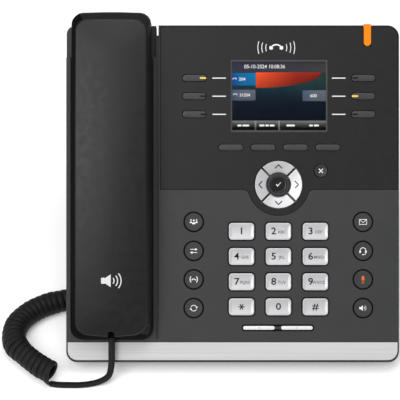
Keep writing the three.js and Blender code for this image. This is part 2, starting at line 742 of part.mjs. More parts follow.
/** A plate hooked to the back, a leg down to the table and two ribs in the corner between them. */
function deskStand() {
  const back = -BODY_DEPTH - GAP;
  const inner = back - STAND.thick;
  const floor = FOOT_HEIGHT + GAP;
  const top = sideways(STAND.high, back);
  const leg = new THREE.Vector2(STAND.foot - top[0], floor - top[1]).normalize();
  const legInside = [top[0] + STAND.thick * leg.y, top[1] - STAND.thick * leg.x];
  const onLeg = (height) => {
    const run = (height - legInside[1]) / leg.y;
    return [legInside[0] + run * leg.x, height];
  };
  const [y0, z0] = sideways(0, inner);
  const slope = Math.tan(FACE_TILT);
  const run = (legInside[1] - z0 - slope * (legInside[0] - y0)) / (slope * leg.x - leg.y);
  const corner = [legInside[0] + run * leg.x, legInside[1] + run * leg.y];
  const profile = points(
    sideways(STAND.low, back), sideways(STAND.low, inner), corner, onLeg(floor + STAND.thick),
    [STAND.toe, floor + STAND.thick], [STAND.toe, floor], [STAND.foot, floor], top,
  );
  const ribEnd = onLeg(corner[1] - 34);
  const rib = points(
    sideways(STAND.low + 2, inner + 0.5), [ribEnd[0] + 1, ribEnd[1]], [corner[0] + 1, corner[1] + 1],
  );
  const hook = HOOKS.columns.map((u) => across(points(
    sideways(HOOKS.low, back - 1), sideways(HOOKS.high, back - 1),
    sideways(HOOKS.high, back + HOOKS.reach), sideways(HOOKS.low, back + HOOKS.reach),
  ), u - HOOKS.half, u + HOOKS.half));
  const ribs = [-STAND.half, STAND.half - STAND.thick].map((left) =>
    across(rib, left, left + STAND.thick));
  return without(
    joined(across(profile, -STAND.half, STAND.half), ...ribs, ...hook),
    block(
      -STAND_WINDOW.half, STAND_WINDOW.half, 100, 170, STAND_WINDOW.low, STAND_WINDOW.high,
    ),
  );
}

add(body, 'desk_stand', deskStand(), MATTE_BLACK);

/** A rubber strip on the table, between two distances from the front edge. */
const footStrip = (half, front, back) => new THREE.BoxGeometry(2 * half, back - front, FOOT_HEIGHT)
  .translate(0, (front + back) / 2, FOOT_HEIGHT / 2);

add(body, 'front_foot', footStrip(85, 12, 30), RUBBER);
add(body, 'stand_foot', footStrip(50, STAND.toe + 2, STAND.foot - 2), RUBBER);

// ---------------------------------------------------------------- handset cord

/** A closed tube along a smooth line through the route's points. */
function tube(route, { width, sides }, steps) {
  const line = new THREE.CatmullRomCurve3(route.map((at) => new THREE.Vector3(...at)));
  const section = new THREE.Shape(circle(0, 0, width / 2, sides));
  return new THREE.ExtrudeGeometry(section, { steps, extrudePath: line, bevelEnabled: false });
}

add(phone, 'cord_lead_handset', tube(HANDSET_LEAD, CORD, 16), CORD_BLACK);
add(phone, 'handset_cord_coil', tube(COIL_ROUTE, COIL, 40), CORD_BLACK);
add(phone, 'cord_lead_base', tube(BASE_LEAD, CORD, 16), CORD_BLACK);

const basePlug = block(
  HANDSET_JACK.u - PLUG.width / 2, HANDSET_JACK.u + PLUG.width / 2, PORTS.start - 3.3,
  PORTS.start + PLUG.length, PORT_MIDDLE - 4, PORT_MIDDLE + 4,
);
add(face, 'base_plug', basePlug, GLASS);

export default phone;
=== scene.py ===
import json
import math

import bmesh
import bpy
import numpy as np
from mathutils import Matrix, Vector

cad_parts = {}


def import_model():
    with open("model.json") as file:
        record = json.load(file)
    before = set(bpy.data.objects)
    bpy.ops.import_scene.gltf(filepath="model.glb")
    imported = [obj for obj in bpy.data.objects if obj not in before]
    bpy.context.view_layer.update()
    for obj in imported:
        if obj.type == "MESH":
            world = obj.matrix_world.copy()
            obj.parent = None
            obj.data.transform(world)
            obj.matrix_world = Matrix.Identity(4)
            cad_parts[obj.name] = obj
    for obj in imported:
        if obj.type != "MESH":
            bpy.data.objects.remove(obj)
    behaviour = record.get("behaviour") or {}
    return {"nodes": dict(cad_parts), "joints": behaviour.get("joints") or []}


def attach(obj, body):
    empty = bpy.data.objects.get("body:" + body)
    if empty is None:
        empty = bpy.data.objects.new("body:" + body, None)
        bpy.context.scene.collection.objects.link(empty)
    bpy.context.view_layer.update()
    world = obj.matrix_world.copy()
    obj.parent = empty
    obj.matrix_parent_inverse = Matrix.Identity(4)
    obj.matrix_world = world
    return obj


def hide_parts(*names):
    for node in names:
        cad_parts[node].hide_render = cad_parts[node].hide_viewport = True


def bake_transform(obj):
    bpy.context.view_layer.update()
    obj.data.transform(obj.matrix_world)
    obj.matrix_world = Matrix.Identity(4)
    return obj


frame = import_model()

NODES = frame["nodes"]
JOINTS = {joint["name"]: joint for joint in frame["joints"]}
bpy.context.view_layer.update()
MM = 0.001

# ---- the face frame
# u to the right, v up the sloping face and w out of it, in millimetres.

inward = Vector(JOINTS["ok_key_press"]["axis"])
TURN = Matrix.Rotation(math.atan2(inward.y, -inward.z), 4, "X")


def node_points(node):
    return np.array([vertex.co for vertex in NODES[node].data.vertices], float)


def turned_back(points):
    return points @ np.array(TURN.to_3x3())


_housing = turned_back(node_points("front_housing"))
ORIGIN = np.array([0.0, _housing[:, 1].min(), _housing[:, 2].max()])
TO_WORLD = np.array(TURN.to_3x3()).T


def world(points):
    """Face-frame millimetres to the row frame's metres."""
    return (np.asarray(points, float) * MM + ORIGIN) @ TO_WORLD


def face_box(node):
    """A node's lowest and highest corners in the face frame."""
    local = (turned_back(node_points(node)) - ORIGIN) / MM
    return local.min(0), local.max(0)


def middle(node):
    low, high = face_box(node)
    return (low + high) / 2


# ---- camera, floor and light

VIEW_DISTANCE = 1.2
VIEW_WIDTH = 0.2428
VIEW_CENTRE = (-19.8, 98.5)
SENSOR = 36.0


def placed(name, data):
    """A new object of some data, linked into the scene."""
    made = bpy.data.objects.new(name, data)
    bpy.context.scene.collection.objects.link(made)
    return made


def make_camera():
    data = bpy.data.cameras.new("camera")
    data.sensor_width = SENSOR
    data.lens = SENSOR * VIEW_DISTANCE / VIEW_WIDTH
    data.clip_end = 10
    camera = placed("camera", data)
    camera.matrix_world = TURN
    camera.location = world([[*VIEW_CENTRE, VIEW_DISTANCE / MM]])[0]
    bpy.context.scene.camera = camera


LIGHT_AIM = (20, 100, 0)
LIGHTS = {  # place in the face frame, side in metres, power in watts
    "key_light": ((-570, 250, 1150), 0.8, 9.6),
    "top_light": ((60, 960, 920), 0.7, 5.6),
    "fill_light": ((900, 100, 900), 0.9, 1.8),
}
SKY_STRENGTH = 0.42


def area_light(name, place, size, power):
    """A soft square light at a place in the face frame, turned to the face."""
    data = bpy.data.lights.new(name, "AREA")
    data.size = size
    data.energy = power
    light = placed(name, data)
    light.location, target = (Vector(world([spot])[0]) for spot in (place, LIGHT_AIM))
    light.rotation_euler = (target - light.location).to_track_quat("-Z", "Y").to_euler()


def make_light():
    for name, (place, size, power) in LIGHTS.items():
        area_light(name, place, size, power)
    sky = bpy.data.worlds.new("studio")
    sky.use_nodes = True
    sky.node_tree.nodes["Background"].inputs["Color"].default_value = (1, 1, 1, 1)
    sky.node_tree.nodes["Background"].inputs["Strength"].default_value = SKY_STRENGTH
    bpy.context.scene.world = sky
    bpy.context.scene.view_settings.view_transform = "Standard"


# ---- materials


class Look:
    """A Principled material and the nodes that give it grain."""

    def __init__(self, name, colour, roughness, metallic=0.0, **sockets):
        self.material = bpy.data.materials.new(name)
        self.material.use_nodes = True
        self.tree = self.material.node_tree
        self.shader = self.tree.nodes["Principled BSDF"]
        self.set("Base Color", (*colour, 1.0))
        self.set("Roughness", roughness)
        self.set("Metallic", metallic)
        for socket, value in sockets.items():
            self.set(socket.replace("_", " "), value)
        self.coordinates = self.node("ShaderNodeTexCoord").outputs["Object"]
        self.height = None

    def set(self, socket, value):
        self.shader.inputs[socket].default_value = value

    def node(self, kind, **values):
        made = self.tree.nodes.new(kind)
        for key, value in values.items():
            if key in made.inputs:
                made.inputs[key].default_value = value
            else:
                setattr(made, key, value)
        return made

    def link(self, source, target):
        self.tree.links.new(source, target)

    def noise(self, scale, detail=2.0, stretch=None):
        """Fractal noise in metres of the row frame; stretch scales each axis."""
        texture = self.node("ShaderNodeTexNoise", Scale=scale, Detail=detail)
        source = self.coordinates
        if stretch:
            mapping = self.node("ShaderNodeMapping")
            mapping.inputs["Scale"].default_value = stretch
            self.link(source, mapping.inputs["Vector"])
            source = mapping.outputs["Vector"]
        self.link(source, texture.inputs["Vector"])
        return texture.outputs["Fac"]

    def vary(self, socket, source, low, high):
        """Drives a number from the noise, between two values."""
        spread = self.node("ShaderNodeMapRange")
        spread.inputs["From Min"].default_value = 0.3
        spread.inputs["From Max"].default_value = 0.7
        spread.inputs["To Min"].default_value = low
        spread.inputs["To Max"].default_value = high
        self.link(source, spread.inputs["Value"])
        self.link(spread.outputs["Result"], self.shader.inputs[socket])

    def tint(self, source, dark, light):
        """Drives the colour from the noise, between two colours."""
        ramp = self.node("ShaderNodeValToRGB")
        ramp.color_ramp.elements[0].position = 0.35
        ramp.color_ramp.elements[0].color = (*dark, 1)
        ramp.color_ramp.elements[1].position = 0.65
        ramp.color_ramp.elements[1].color = (*light, 1)
        self.link(source, ramp.inputs["Fac"])
        self.link(ramp.outputs["Color"], self.shader.inputs["Base Color"])

    def ease(self, radius):
        """Rounds the edges of a solid in the shading, by a radius in metres."""
        if radius:
            self.height = self.node("ShaderNodeBevel", samples=6, Radius=radius).outputs["Normal"]

    def bump(self, source, strength, depth):
        made = self.node("ShaderNodeBump", Strength=strength, Distance=depth)
        self.link(source, made.inputs["Height"])
        if self.height:
            self.link(self.height, made.inputs["Normal"])
        self.height = made.outputs["Normal"]
        self.link(self.height, self.shader.inputs["Normal"])


def scaled(colour, share):
    return tuple(channel * share for channel in colour)


def moulded(name, colour, roughness, grain=2600.0, strength=0.25, depth=0.00008, spread=0.05,
            shine=0.35, eased=0.0, metallic=0.0):
    """Injection-moulded plastic with a spark-eroded grain, and a little unevenness."""
    look = Look(name, colour, roughness, metallic, Specular_IOR_Level=shine)
    look.ease(eased)
    fine = look.noise(grain, 3.0)
    broad = look.noise(45.0, 4.0)
    look.tint(broad, scaled(colour, 1 - spread), scaled(colour, 1 + spread))
    look.vary("Roughness", look.noise(260.0, 3.0), roughness - 0.05, roughness + 0.06)
    look.bump(fine, strength, depth)
    return look.material


def glowing(name, colour, strength):
    look = Look(name, scaled(colour, 0.4), 0.4, Specular_IOR_Level=0.2)
    look.set("Emission Color", (*colour, 1.0))
    look.set("Emission Strength", strength)
    look.vary("Roughness", look.noise(800.0), 0.3, 0.5)
    return look.material


def printed(name, colour, roughness=0.55):
    """Pad-printed ink, slightly uneven."""
    look = Look(name, colour, roughness, Specular_IOR_Level=0.15)
    look.tint(look.noise(1800.0, 3.0), scaled(colour, 0.92), colour)
    look.bump(look.noise(4000.0), 0.1, 0.00003)
    return look.material


def brushed(name, colour, roughness, direction=(6.0, 900.0, 900.0), metallic=1.0):
    """Metal, or a metallic lacquer, brushed along X."""
    look = Look(name, colour, roughness, metallic)
    lines = look.noise(1.6, 5.0, direction)
    look.tint(lines, scaled(colour, 0.88), colour)
    look.vary("Roughness", lines, roughness - 0.06, roughness + 0.1)
    look.bump(lines, 0.25, 0.00004)
    look.set("Anisotropic", 0.5)
    return look.material


def rubber(name, colour, roughness=0.75, shine=0.35):
    look = Look(name, colour, roughness, Specular_IOR_Level=shine)
    look.tint(look.noise(90.0, 4.0), scaled(colour, 0.85), scaled(colour, 1.2))
    look.vary("Roughness", look.noise(500.0, 3.0), roughness - 0.08, roughness + 0.08)
    look.bump(look.noise(1500.0, 4.0), 0.3, 0.0001)
    return look.material


def clear(name, colour, roughness, ior=1.49, through=0.9):
    look = Look(name, colour, roughness, IOR=ior, Transmission_Weight=through)
    look.bump(look.noise(300.0, 2.0), 0.05, 0.00005)
    return look.material


EASED = 0.0004
BLACK = moulded("matte_black_plastic", (0.0312, 0.0316, 0.033), 0.5, shine=0.28, eased=EASED)
HANDSET_BLACK = moulded("handset_black_plastic", (0.0052, 0.0053, 0.0056), 0.37, shine=0.29)
# Painted shade: a darker, duller copy of the handset plastic, and a half-dark copy between the two, for the
# flank faces that face left or down, away from the key light.
HANDSET_SHADED = moulded("handset_painted_shade_plastic", (0.0045, 0.0046, 0.0048), 0.7, shine=0.02)
HANDSET_HALF_SHADED = moulded("handset_half_shade_plastic", (0.0048, 0.0049, 0.0051), 0.52, shine=0.13)
SHELL_BLACK = moulded("handset_shell_plastic", (0.01, 0.0102, 0.0108), 0.42, shine=0.35, eased=EASED)
PANEL = moulded(
    "panel_black_plastic", (0.0088, 0.009, 0.0096), 0.42, 3200.0, 0.15, shine=0.25, eased=EASED / 2)
KEY_GREY = moulded("grey_key_plastic", (0.033, 0.0335, 0.0348), 0.45, 3600.0, 0.12)
KEY_PANEL = moulded("key_panel_plastic", (0.027, 0.0274, 0.0285), 0.5)
KEY_DARK = moulded("dark_key_plastic", (0.018, 0.0182, 0.019), 0.45)
# Flat black used as painted shade: the gaps round the keys, the screws' cross recesses and the handset's
# sound holes.
PAINTED_SHADE = moulded("key_surround_black", (0.004, 0.004, 0.0042), 0.7, shine=0.05)
GLOSS_BLACK = moulded("polished_black_plastic", (0.008, 0.008, 0.009), 0.18, 900.0, 0.03)
KEY_SILVER = moulded(
    "silver_key_plastic", (0.53, 0.53, 0.54), 0.42, 4200.0, 0.06, 0.00004, 0.015, metallic=0.5)
# Painted light: a lighter, less metallic copy of the silver key plastic for the flat volume pads, so they
# look brighter than the number keys.
PAD_SILVER_LIT = moulded(
    "volume_pad_lit_silver", (0.74, 0.74, 0.75), 0.42, 4200.0, 0.06, 0.00004, 0.015, metallic=0.3)
TRIM = brushed("brushed_trim", (0.56, 0.56, 0.565), 0.6, metallic=0.1)
STEEL = brushed("module_steel", (0.55, 0.56, 0.58), 0.35, (60.0, 60.0, 60.0))
FOOT = rubber("foot_rubber", (0.025, 0.025, 0.026))
SHEATH = rubber("cord_sheath", (0.0058, 0.0059, 0.0063), 0.6, 0.22)
SILICONE = rubber("silicone", (0.4, 0.41, 0.43), 0.6, 0.2)
BOARD = moulded("circuit_board", (0.02, 0.13, 0.06), 0.35)
WHITE_INK = printed("white_ink", (0.84, 0.84, 0.84))
DARK_INK = printed("dark_ink", (0.008, 0.0085, 0.01))
GREY_INK = printed("grey_ink", (0.15, 0.15, 0.16))
LABEL_WHITE = printed("label_white", (0.7, 0.7, 0.68))
HANDSET_INK = printed("handset_ink", (0.66, 0.66, 0.66))
CLEAR = clear("clear_plug", (0.85, 0.88, 0.9), 0.12)
GOLD = brushed("contact_gold", (0.9, 0.65, 0.25), 0.25, (60.0, 60.0, 60.0))
AMBER = glowing("amber_lens", (0.95, 0.25, 0.002), 0.62)
LED_ON = glowing("lit_indicator", (1.0, 0.74, 0.14), 0.5)
LED_OFF = moulded("dark_indicator", (0.003, 0.003, 0.003), 0.5, shine=0.05)
PORT = moulded("port_plastic", (0.03, 0.03, 0.032), 0.5, eased=EASED)
WINDOW_EDGE = moulded("window_edge", (0.05, 0.05, 0.052), 0.35)
PANE = clear("display_glass", (1.0, 1.0, 1.0), 0.02, 1.1, 1.0)
SCREEN_WHITE = glowing("screen_white", (0.85, 0.85, 0.86), 0.6)
MUTE_ON = glowing("lit_mute_icon", (0.85, 0.17, 0.03), 0.55)

# ---- mesh helpers


def make_piece(name, points, faces, look, body, in_metres=False, sharp=32):
    """A mesh piece from face-frame millimetres, or from the row frame's metres."""
    mesh = bpy.data.meshes.new(name)
    places = np.asarray(points, float) if in_metres else world(points)
    mesh.from_pydata([tuple(p) for p in places], [], [list(f) for f in faces])
    mesh.validate()
    bm = bmesh.new()
    bm.from_mesh(mesh)
    bmesh.ops.recalc_face_normals(bm, faces=bm.faces)
    bm.to_mesh(mesh)
    bm.free()
    mesh.shade_smooth()
    mesh.set_sharp_from_angle(angle=math.radians(sharp))
    piece = placed(name, mesh)
    mesh.materials.append(look)
    if body:
        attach(piece, body)
    return piece


def stands_for(piece, slot, *nodes):
    """The piece takes the place of CAD nodes, which are hidden; the slot is not used."""
    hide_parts(*nodes)


def heading(degrees):
    """The unit direction at an angle in the plane of the face."""
    return np.array([math.cos(math.radians(degrees)), math.sin(math.radians(degrees))])


def arc(x, y, radius, start, end, steps):
    angles = np.radians(np.linspace(start, end, steps + 1))
    return np.stack([x + radius * np.cos(angles), y + radius * np.sin(angles)], 1)


def filled_in(corners, side):
    """The outline's straight stretches cut into equal parts, one for each pair of arcs."""
    rows = []
    for k, row in enumerate(corners):
        following = corners[(k + 1) % len(corners)][0]
        share = np.linspace(0, 1, side + 2)[1:-1, None]
        rows += [row, row[-1] + (following - row[-1]) * share]
    return np.concatenate(rows)


def rounded(left, right, low, high, radius, corner=7, side=5):
    """Rings of a rounded rectangle; each ring is the outline moved in by a distance."""

    def ring(inset, sides=None):
        l, r, b, t = sides or (inset,) * 4
        x0, x1, y0, y1 = left + l, right - r, low + b, high - t
        rad = max(0.02, min(radius - inset, (x1 - x0) / 2, (y1 - y0) / 2))
        return filled_in([
            arc(x0 + rad, y0 + rad, rad, 180, 270, corner),
            arc(x1 - rad, y0 + rad, rad, 270, 360, corner),
            arc(x1 - rad, y1 - rad, rad, 0, 90, corner),
            arc(x0 + rad, y1 - rad, rad, 90, 180, corner),
        ], side)

    return ring


def about(u, v, width, height, radius, corner=7, side=5):
    return rounded(u - width / 2, u + width / 2, v - height / 2, v + height / 2, radius, corner, side)


def disc(u, v, radius, steps=48):
    return lambda inset: arc(u, v, max(0.02, radius - inset), 0, 360, steps)[:-1]


def sector(u, v, outer, inner, gap, direction):
    """Rings of a quarter of a flat ring, with parallel gaps between the quarters."""

    def ring(inset):
        far, near, half = outer - inset, inner + inset, gap / 2 + inset
        wide = 45 - math.degrees(math.asin(half / far))
        narrow = 45 - math.degrees(math.asin(half / near))
        return filled_in([
            arc(u, v, far, direction - wide, direction + wide, 24),
            arc(u, v, near, direction + narrow, direction - narrow, 16),
        ], 5)

    return ring


def stack(rings, closed_low=True, closed_high=True):
    """Points and faces of rings joined one to the next, with their ends closed."""
    count = len(rings[0])
    points = np.concatenate(rings)
    faces = []
    for k in range(len(rings) - 1):
        a, b = k * count, (k + 1) * count
        for i in range(count):
            j = (i + 1) % count
            faces.append((a + i, a + j, b + j, b + i))
    if closed_low:
        faces.append(tuple(range(count))[::-1])
    if closed_high:
        faces.append(tuple(range((len(rings) - 1) * count, len(rings) * count)))
    return points, faces


def at_height(ring, w):
    """A flat ring's points with their height, which is one number or one for each point."""
    return np.column_stack([ring, np.full(len(ring), 1.0) * w])


KEY_LOW = -3.0
EDGE_ANGLES = (22.5, 45, 67.5, 90)
CROWN_STEEPNESS = 6


def cap(name, ring, top, edge, crown, look, slot, node, deepest):
    """A key's cap: straight sides, a rounded edge and a crowned or dished top."""
    levels = [at_height(ring(0), KEY_LOW), at_height(ring(0), top - edge)]
    for angle in np.radians(EDGE_ANGLES):
        levels.append(at_height(ring(edge * (1 - math.cos(angle))), top - edge + edge * math.sin(angle)))
    rim = ring(edge)
    cu, cv = rim.mean(0)
    du, dv = np.abs(rim - [cu, cv]).max(0)

    def height(points):
        across = np.clip(1 - ((points[:, 0] - cu) / du) ** 2, 0, 1)
        along = np.clip(1 - ((points[:, 1] - cv) / dv) ** 2, 0, 1)
        return top + crown * along * np.minimum(1, across * CROWN_STEEPNESS)

    for inset in np.linspace(edge, deepest, 6)[1:]:
        row = ring(inset)
        levels.append(at_height(row, height(row)))
    piece = make_piece(name, *stack(levels), look, node)
    stands_for(piece, slot, node)
    return piece, height


def turned(name, u, v, profile, look, body, steps):
    """A solid of revolution about the normal of the face; the profile's ends lie on the axis."""
    rings = [at_height(arc(u, v, max(r, 0.005), 0, 360, steps)[:-1], w) for r, w in profile]
    return make_piece(name, *stack(rings), look, body)


# ---- flat prints


def drape(flat_points, flat_faces, height, thick=0.03):
    """A flat outline mesh laid on a surface; a thickness below zero lays it on the back of one."""
    sink = math.copysign(0.06, thick)
    top = height(flat_points) + thick
    count = len(flat_points)
    points = np.concatenate([
        np.column_stack([flat_points, top]),
        np.column_stack([flat_points, top - thick - sink]),
    ])
    edges = {}
    for face in flat_faces:
        for a, b in zip(face, face[1:] + face[:1], strict=True):
            edges[(a, b)] = edges.get((a, b), 0) + 1
    faces = [tuple(f) for f in flat_faces] + [tuple(i + count for i in f[::-1]) for f in flat_faces]
    faces += [(a, a + count, b + count, b) for a, b in edges if (b, a) not in edges]
    return points, faces


class Print:
    """Strokes and filled shapes, in millimetres about a centre, that become one printed piece."""

    def __init__(self, weight=1.0):
        self.parts = []
        self.weight = weight

    def fill(self, points):
        points = np.asarray(points, float)
        self.parts.append((points, [list(range(len(points)))]))
        return self

    def dot(self, x, y, radius, steps=20):
        return self.fill(arc(x, y, radius, 0, 360, steps)[:-1])

    def bar(self, x0, x1, y0, y1):
        return self.fill([(x0, y0), (x1, y0), (x1, y1), (x0, y1)])

    def pad(self, x, y, width, height, radius, corner=4):
        """A small rectangle with rounded corners."""
        return self.fill(about(x, y, width, height, radius, corner, 1)(0))

    def stroke(self, points, width, closed=False):
        """A line of constant width with square ends, mitred at its corners."""
        p = np.asarray(points, float)
        if closed:
            before, after = np.roll(p, 1, 0), np.roll(p, -1, 0)
        else:
            before = np.concatenate([[2 * p[0] - p[1]], p[:-1]])
            after = np.concatenate([p[1:], [2 * p[-1] - p[-2]]])
        a, b = p - before, after - p
        a /= np.linalg.norm(a, axis=1)[:, None]
        b /= np.linalg.norm(b, axis=1)[:, None]
        normal = np.column_stack([-(a + b)[:, 1], (a + b)[:, 0]])
        normal *= (self.weight * width / np.maximum(0.5, (normal**2).sum(1)))[:, None]
        points = np.concatenate([p - normal, p + normal])
        n = len(p)
        last = n if closed else n - 1
        faces = [[i, (i + 1) % n, n + (i + 1) % n, n + i] for i in range(last)]
        self.parts.append((points, faces))
        return self

    def ring(self, x, y, radius, width, start=0.0, end=360.0, steps=28):
        whole = abs(end - start) >= 360
        points = arc(x, y, radius, start, end, steps)
        return self.stroke(points[:-1] if whole else points, width, whole)

    def letters(self, text, size, x=0.0, y=0.0, bold=0.0, stretch=1.0):
        curve = bpy.data.curves.new("letters", "FONT")
        curve.offset = bold
        curve.body = text
        curve.size = size
        curve.align_x = "CENTER"
        curve.align_y = "CENTER"
        curve.fill_mode = "FRONT"
        curve.resolution_u = 4
        holder = bpy.data.objects.new("letters", curve)
        mesh = bpy.data.meshes.new_from_object(holder)
        points = np.array([v.co[:2] for v in mesh.vertices], float).reshape(-1, 2)
        points = points * [stretch, 1.0] + [x, y]
        self.parts.append((points, [list(f.vertices) for f in mesh.polygons]))
        bpy.data.objects.remove(holder)
        bpy.data.meshes.remove(mesh)
        bpy.data.curves.remove(curve)
        return self

    def lay(self, name, u, v, height, look, body, thick=0.03):
        points, faces, count = [], [], 0
        for flat, polygons in self.parts:
            p, f = drape(flat + [u, v], polygons, height, thick)
            points.append(p)
            faces += [tuple(i + count for i in face) for face in f]
            count += len(p)
        piece = make_piece(name, np.concatenate(points), faces, look, body, sharp=20)
        return piece


def level(w):
    return lambda points: np.full(len(points), float(w))


# ---- the cord

WIDE, THIN = 4.05, 2.3
CORNER_POWER = 0.7  # below 1 the section is squarer than an ellipse
TURN_GAP = 0.08
HELIX_RADIUS = 5.7
HELIX_HEIGHT = 6.9
HELIX_SWELL = 1.0  # added to the radius where the open bend is tightest
CLOSE_WOUND, FADE = 125.0, 40.0  # the turns loosen past this far along, over this length
HIDDEN_STRETCH = 0.65
HELIX_START, FIRST_TURN = 2.5, 4.0
AXIS_STEP, BEND_WINDOW = 0.1, 61
TURN_STEPS = 18
BEND_LIMIT = 6.0  # how far a tight bend is counted as a gentler one, in millimetres
BEND_CROWDING = 0.92  # how much closer the turns' middles lie in a bend, as a share of the radius
HANDSET_LEAD = [
    (-73.2, -70.0, 27.78), (-73.2, -78.2, 19.1), (-73.5, -85.0, 11.4), (-75.2, -88.0, 6.2),
    (-80.5, -89.4, 2.6), (-90.0, -90.9, 1.3), (-101.0, -91.1, 1.25), (-106.8, -90.8, 1.25),
    (-110.9, -90.0, 1.3),
]
COIL_ROUTE = [
    (-108.2, -87.0), (-116.9, -81.1), (-126.3, -72.2), (-132.7, -64.4), (-134.5, -56.2),
    (-132.8, -47.0), (-126.0, -37.8), (-115.5, -30.8), (-101.0, -26.0), (-70.0, -16.0),
    (-20.0, -8.0), (25.0, -5.0), (48.0, -1.0), (62.0, 11.0), (60.0, 27.0), (47.0, 34.5), (34.0, 35.4),
]
BASE_LEAD = [
    (24.0, 35.2, 3.4), (16.0, 30.5, 9.0), (14.0, 22.0, 25.0), (19.0, 13.0, 45.0),
    (29.0, 8.4, 60.0), (36.2, 10.8, 71.2), (38.0, 16.45, 77.74),
]


def spline(points, steps=24):
    """A centripetal Catmull-Rom curve through the points."""
    p = np.asarray(points, float)
    p = np.concatenate([[2 * p[0] - p[1]], p, [2 * p[-1] - p[-2]]])
    rows = []
    for k in range(1, len(p) - 2):
        a, b, c, d = p[k - 1], p[k], p[k + 1], p[k + 2]
        t0, t1, t2 = (np.linalg.norm(x - y) ** 0.5 for x, y in ((a, b), (b, c), (c, d)))
        m1 = t1 * ((b - a) / t0 - (c - a) / (t0 + t1) + (c - b) / t1)
        m2 = t1 * ((c - b) / t1 - (d - b) / (t1 + t2) + (d - c) / t2)
        t = np.linspace(0, 1, steps, endpoint=False)[:, None]
        rows.append(
            b * (2 * t**3 - 3 * t**2 + 1) + m1 * (t**3 - 2 * t**2 + t)
            + c * (3 * t**2 - 2 * t**3) + m2 * (t**3 - t**2)
        )
    return np.concatenate([*rows, p[-2:-1]])


def lengths(points):
    return np.concatenate([[0], np.cumsum(np.linalg.norm(np.diff(points, axis=0), axis=1))])


def even(points, step):
    """The same line with its points an equal distance apart."""
    along = lengths(points)
    at = np.linspace(0, along[-1], max(2, round(along[-1] / step) + 1))
    return np.stack([np.interp(at, along, column) for column in points.T], 1)


def unit(rows):
    return rows / np.linalg.norm(rows, axis=-1, keepdims=True)


def flat_side(line):
    """The level direction across a line, for each of its points."""
    return unit(np.cross(np.gradient(line, axis=0), [0.0, 0.0, 1.0]))


def settled(sides, window=7):
    """Side directions with their signs made to agree, and their turns softened."""
    rows = sides.copy()
    for k in range(1, len(rows)):
        if rows[k] @ rows[k - 1] < 0:
            rows[k] = -rows[k]
    ends = window // 2
    padded = np.concatenate([np.repeat(rows[:1], ends, 0), rows, np.repeat(rows[-1:], ends, 0)])
    return unit(np.stack([np.convolve(c, np.ones(window) / window, "valid") for c in padded.T], 1))


def flat_tube(line, sides, corners=12):
    """An oblong section swept along a line; its wide way lies along the side directions."""
    turn = np.linspace(0, 2 * math.pi, corners, endpoint=False)
    wide = WIDE / 2 * np.sign(np.cos(turn)) * np.abs(np.cos(turn)) ** CORNER_POWER
    thin = THIN / 2 * np.sign(np.sin(turn)) * np.abs(np.sin(turn)) ** CORNER_POWER
    ahead = unit(np.gradient(line, axis=0))
    across = unit(sides - (sides * ahead).sum(1)[:, None] * ahead)
    up = np.cross(ahead, across)
    return stack([
        p + np.outer(wide, a) + np.outer(thin, b) for p, a, b in zip(line, across, up, strict=True)
    ])


def helix(start_point):
    """The curly cord's own line, from the handset's lead to the base's, and its side directions."""
    axis = even(spline([(x, y, HELIX_HEIGHT) for x, y in COIL_ROUTE]), AXIS_STEP)
    along = lengths(axis)
    ahead = unit(np.gradient(axis, axis=0))
    left = np.column_stack([-ahead[:, 1], ahead[:, 0], ahead[:, 2]])
    bend = np.abs(np.gradient(np.unwrap(np.arctan2(ahead[:, 1], ahead[:, 0])), along))
    bend = np.convolve(bend, np.ones(BEND_WINDOW) / BEND_WINDOW, "same")
    bend /= 1 + BEND_LIMIT * bend
    hidden = np.clip((along - CLOSE_WOUND) / FADE, 0, 1)
    pitch = (WIDE + TURN_GAP) / (1 + BEND_CROWDING * HELIX_RADIUS * bend) * (1 + HIDDEN_STRETCH * hidden)
    loosen = np.minimum(np.minimum(along, along[-1] - along) / HELIX_START, 1)
    rate = 2 * math.pi / pitch * loosen
    phase = np.concatenate([[0], np.cumsum((rate[1:] + rate[:-1]) / 2 * np.diff(along))])
    start = start_point - axis[0]
    phase += math.atan2(start @ left[0], -start[2])
    first = np.hypot(start @ left[0], start[2])
    swell = (1 - hidden) * bend
    reach = HELIX_RADIUS + HELIX_SWELL * swell / swell.max()
    reach += (first - HELIX_RADIUS) * np.clip(1 - along / FIRST_TURN, 0, 1)
    outward = np.sin(phase)[:, None] * left - np.cos(phase)[:, None] * np.array([0, 0, 1.0])
    line = axis + reach[:, None] * outward
    line[:, 2] = np.maximum(line[:, 2], THIN / 2 + 0.05)
    turns = phase[-1] - phase[0]
    at = np.linspace(0, turns, round(turns / (2 * math.pi) * TURN_STEPS)) + phase[0]
    places = np.interp(at, phase, along)
    line, outward = (
        np.stack([np.interp(places, along, column) for column in rows.T], 1) for rows in (line, outward)
    )
    return line, unit(np.cross(unit(np.gradient(line, axis=0)), outward))


def cord_mesh(name, line, sides, body):
    points, faces = flat_tube(line, sides)
    piece = make_piece(name, points * MM, faces, SHEATH, body, in_metres=True, sharp=60)
    return piece


lead_line = even(spline(HANDSET_LEAD), 1.2)
curl, curl_sides = helix(lead_line[-1])
base_line = even(spline([curl[-6], curl[-1], *BASE_LEAD])[24:], 1.5)
cord_line = np.concatenate([base_line[::-1][:-1], curl[::-1]])
cord_sides = settled(np.concatenate([flat_side(base_line)[::-1][:-1], curl_sides[::-1]]))

coil_piece = cord_mesh("curly_cord", cord_line, cord_sides, "base")
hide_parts("handset_cord_coil", "cord_lead_base")


CONTACT_PITCH = 1.02


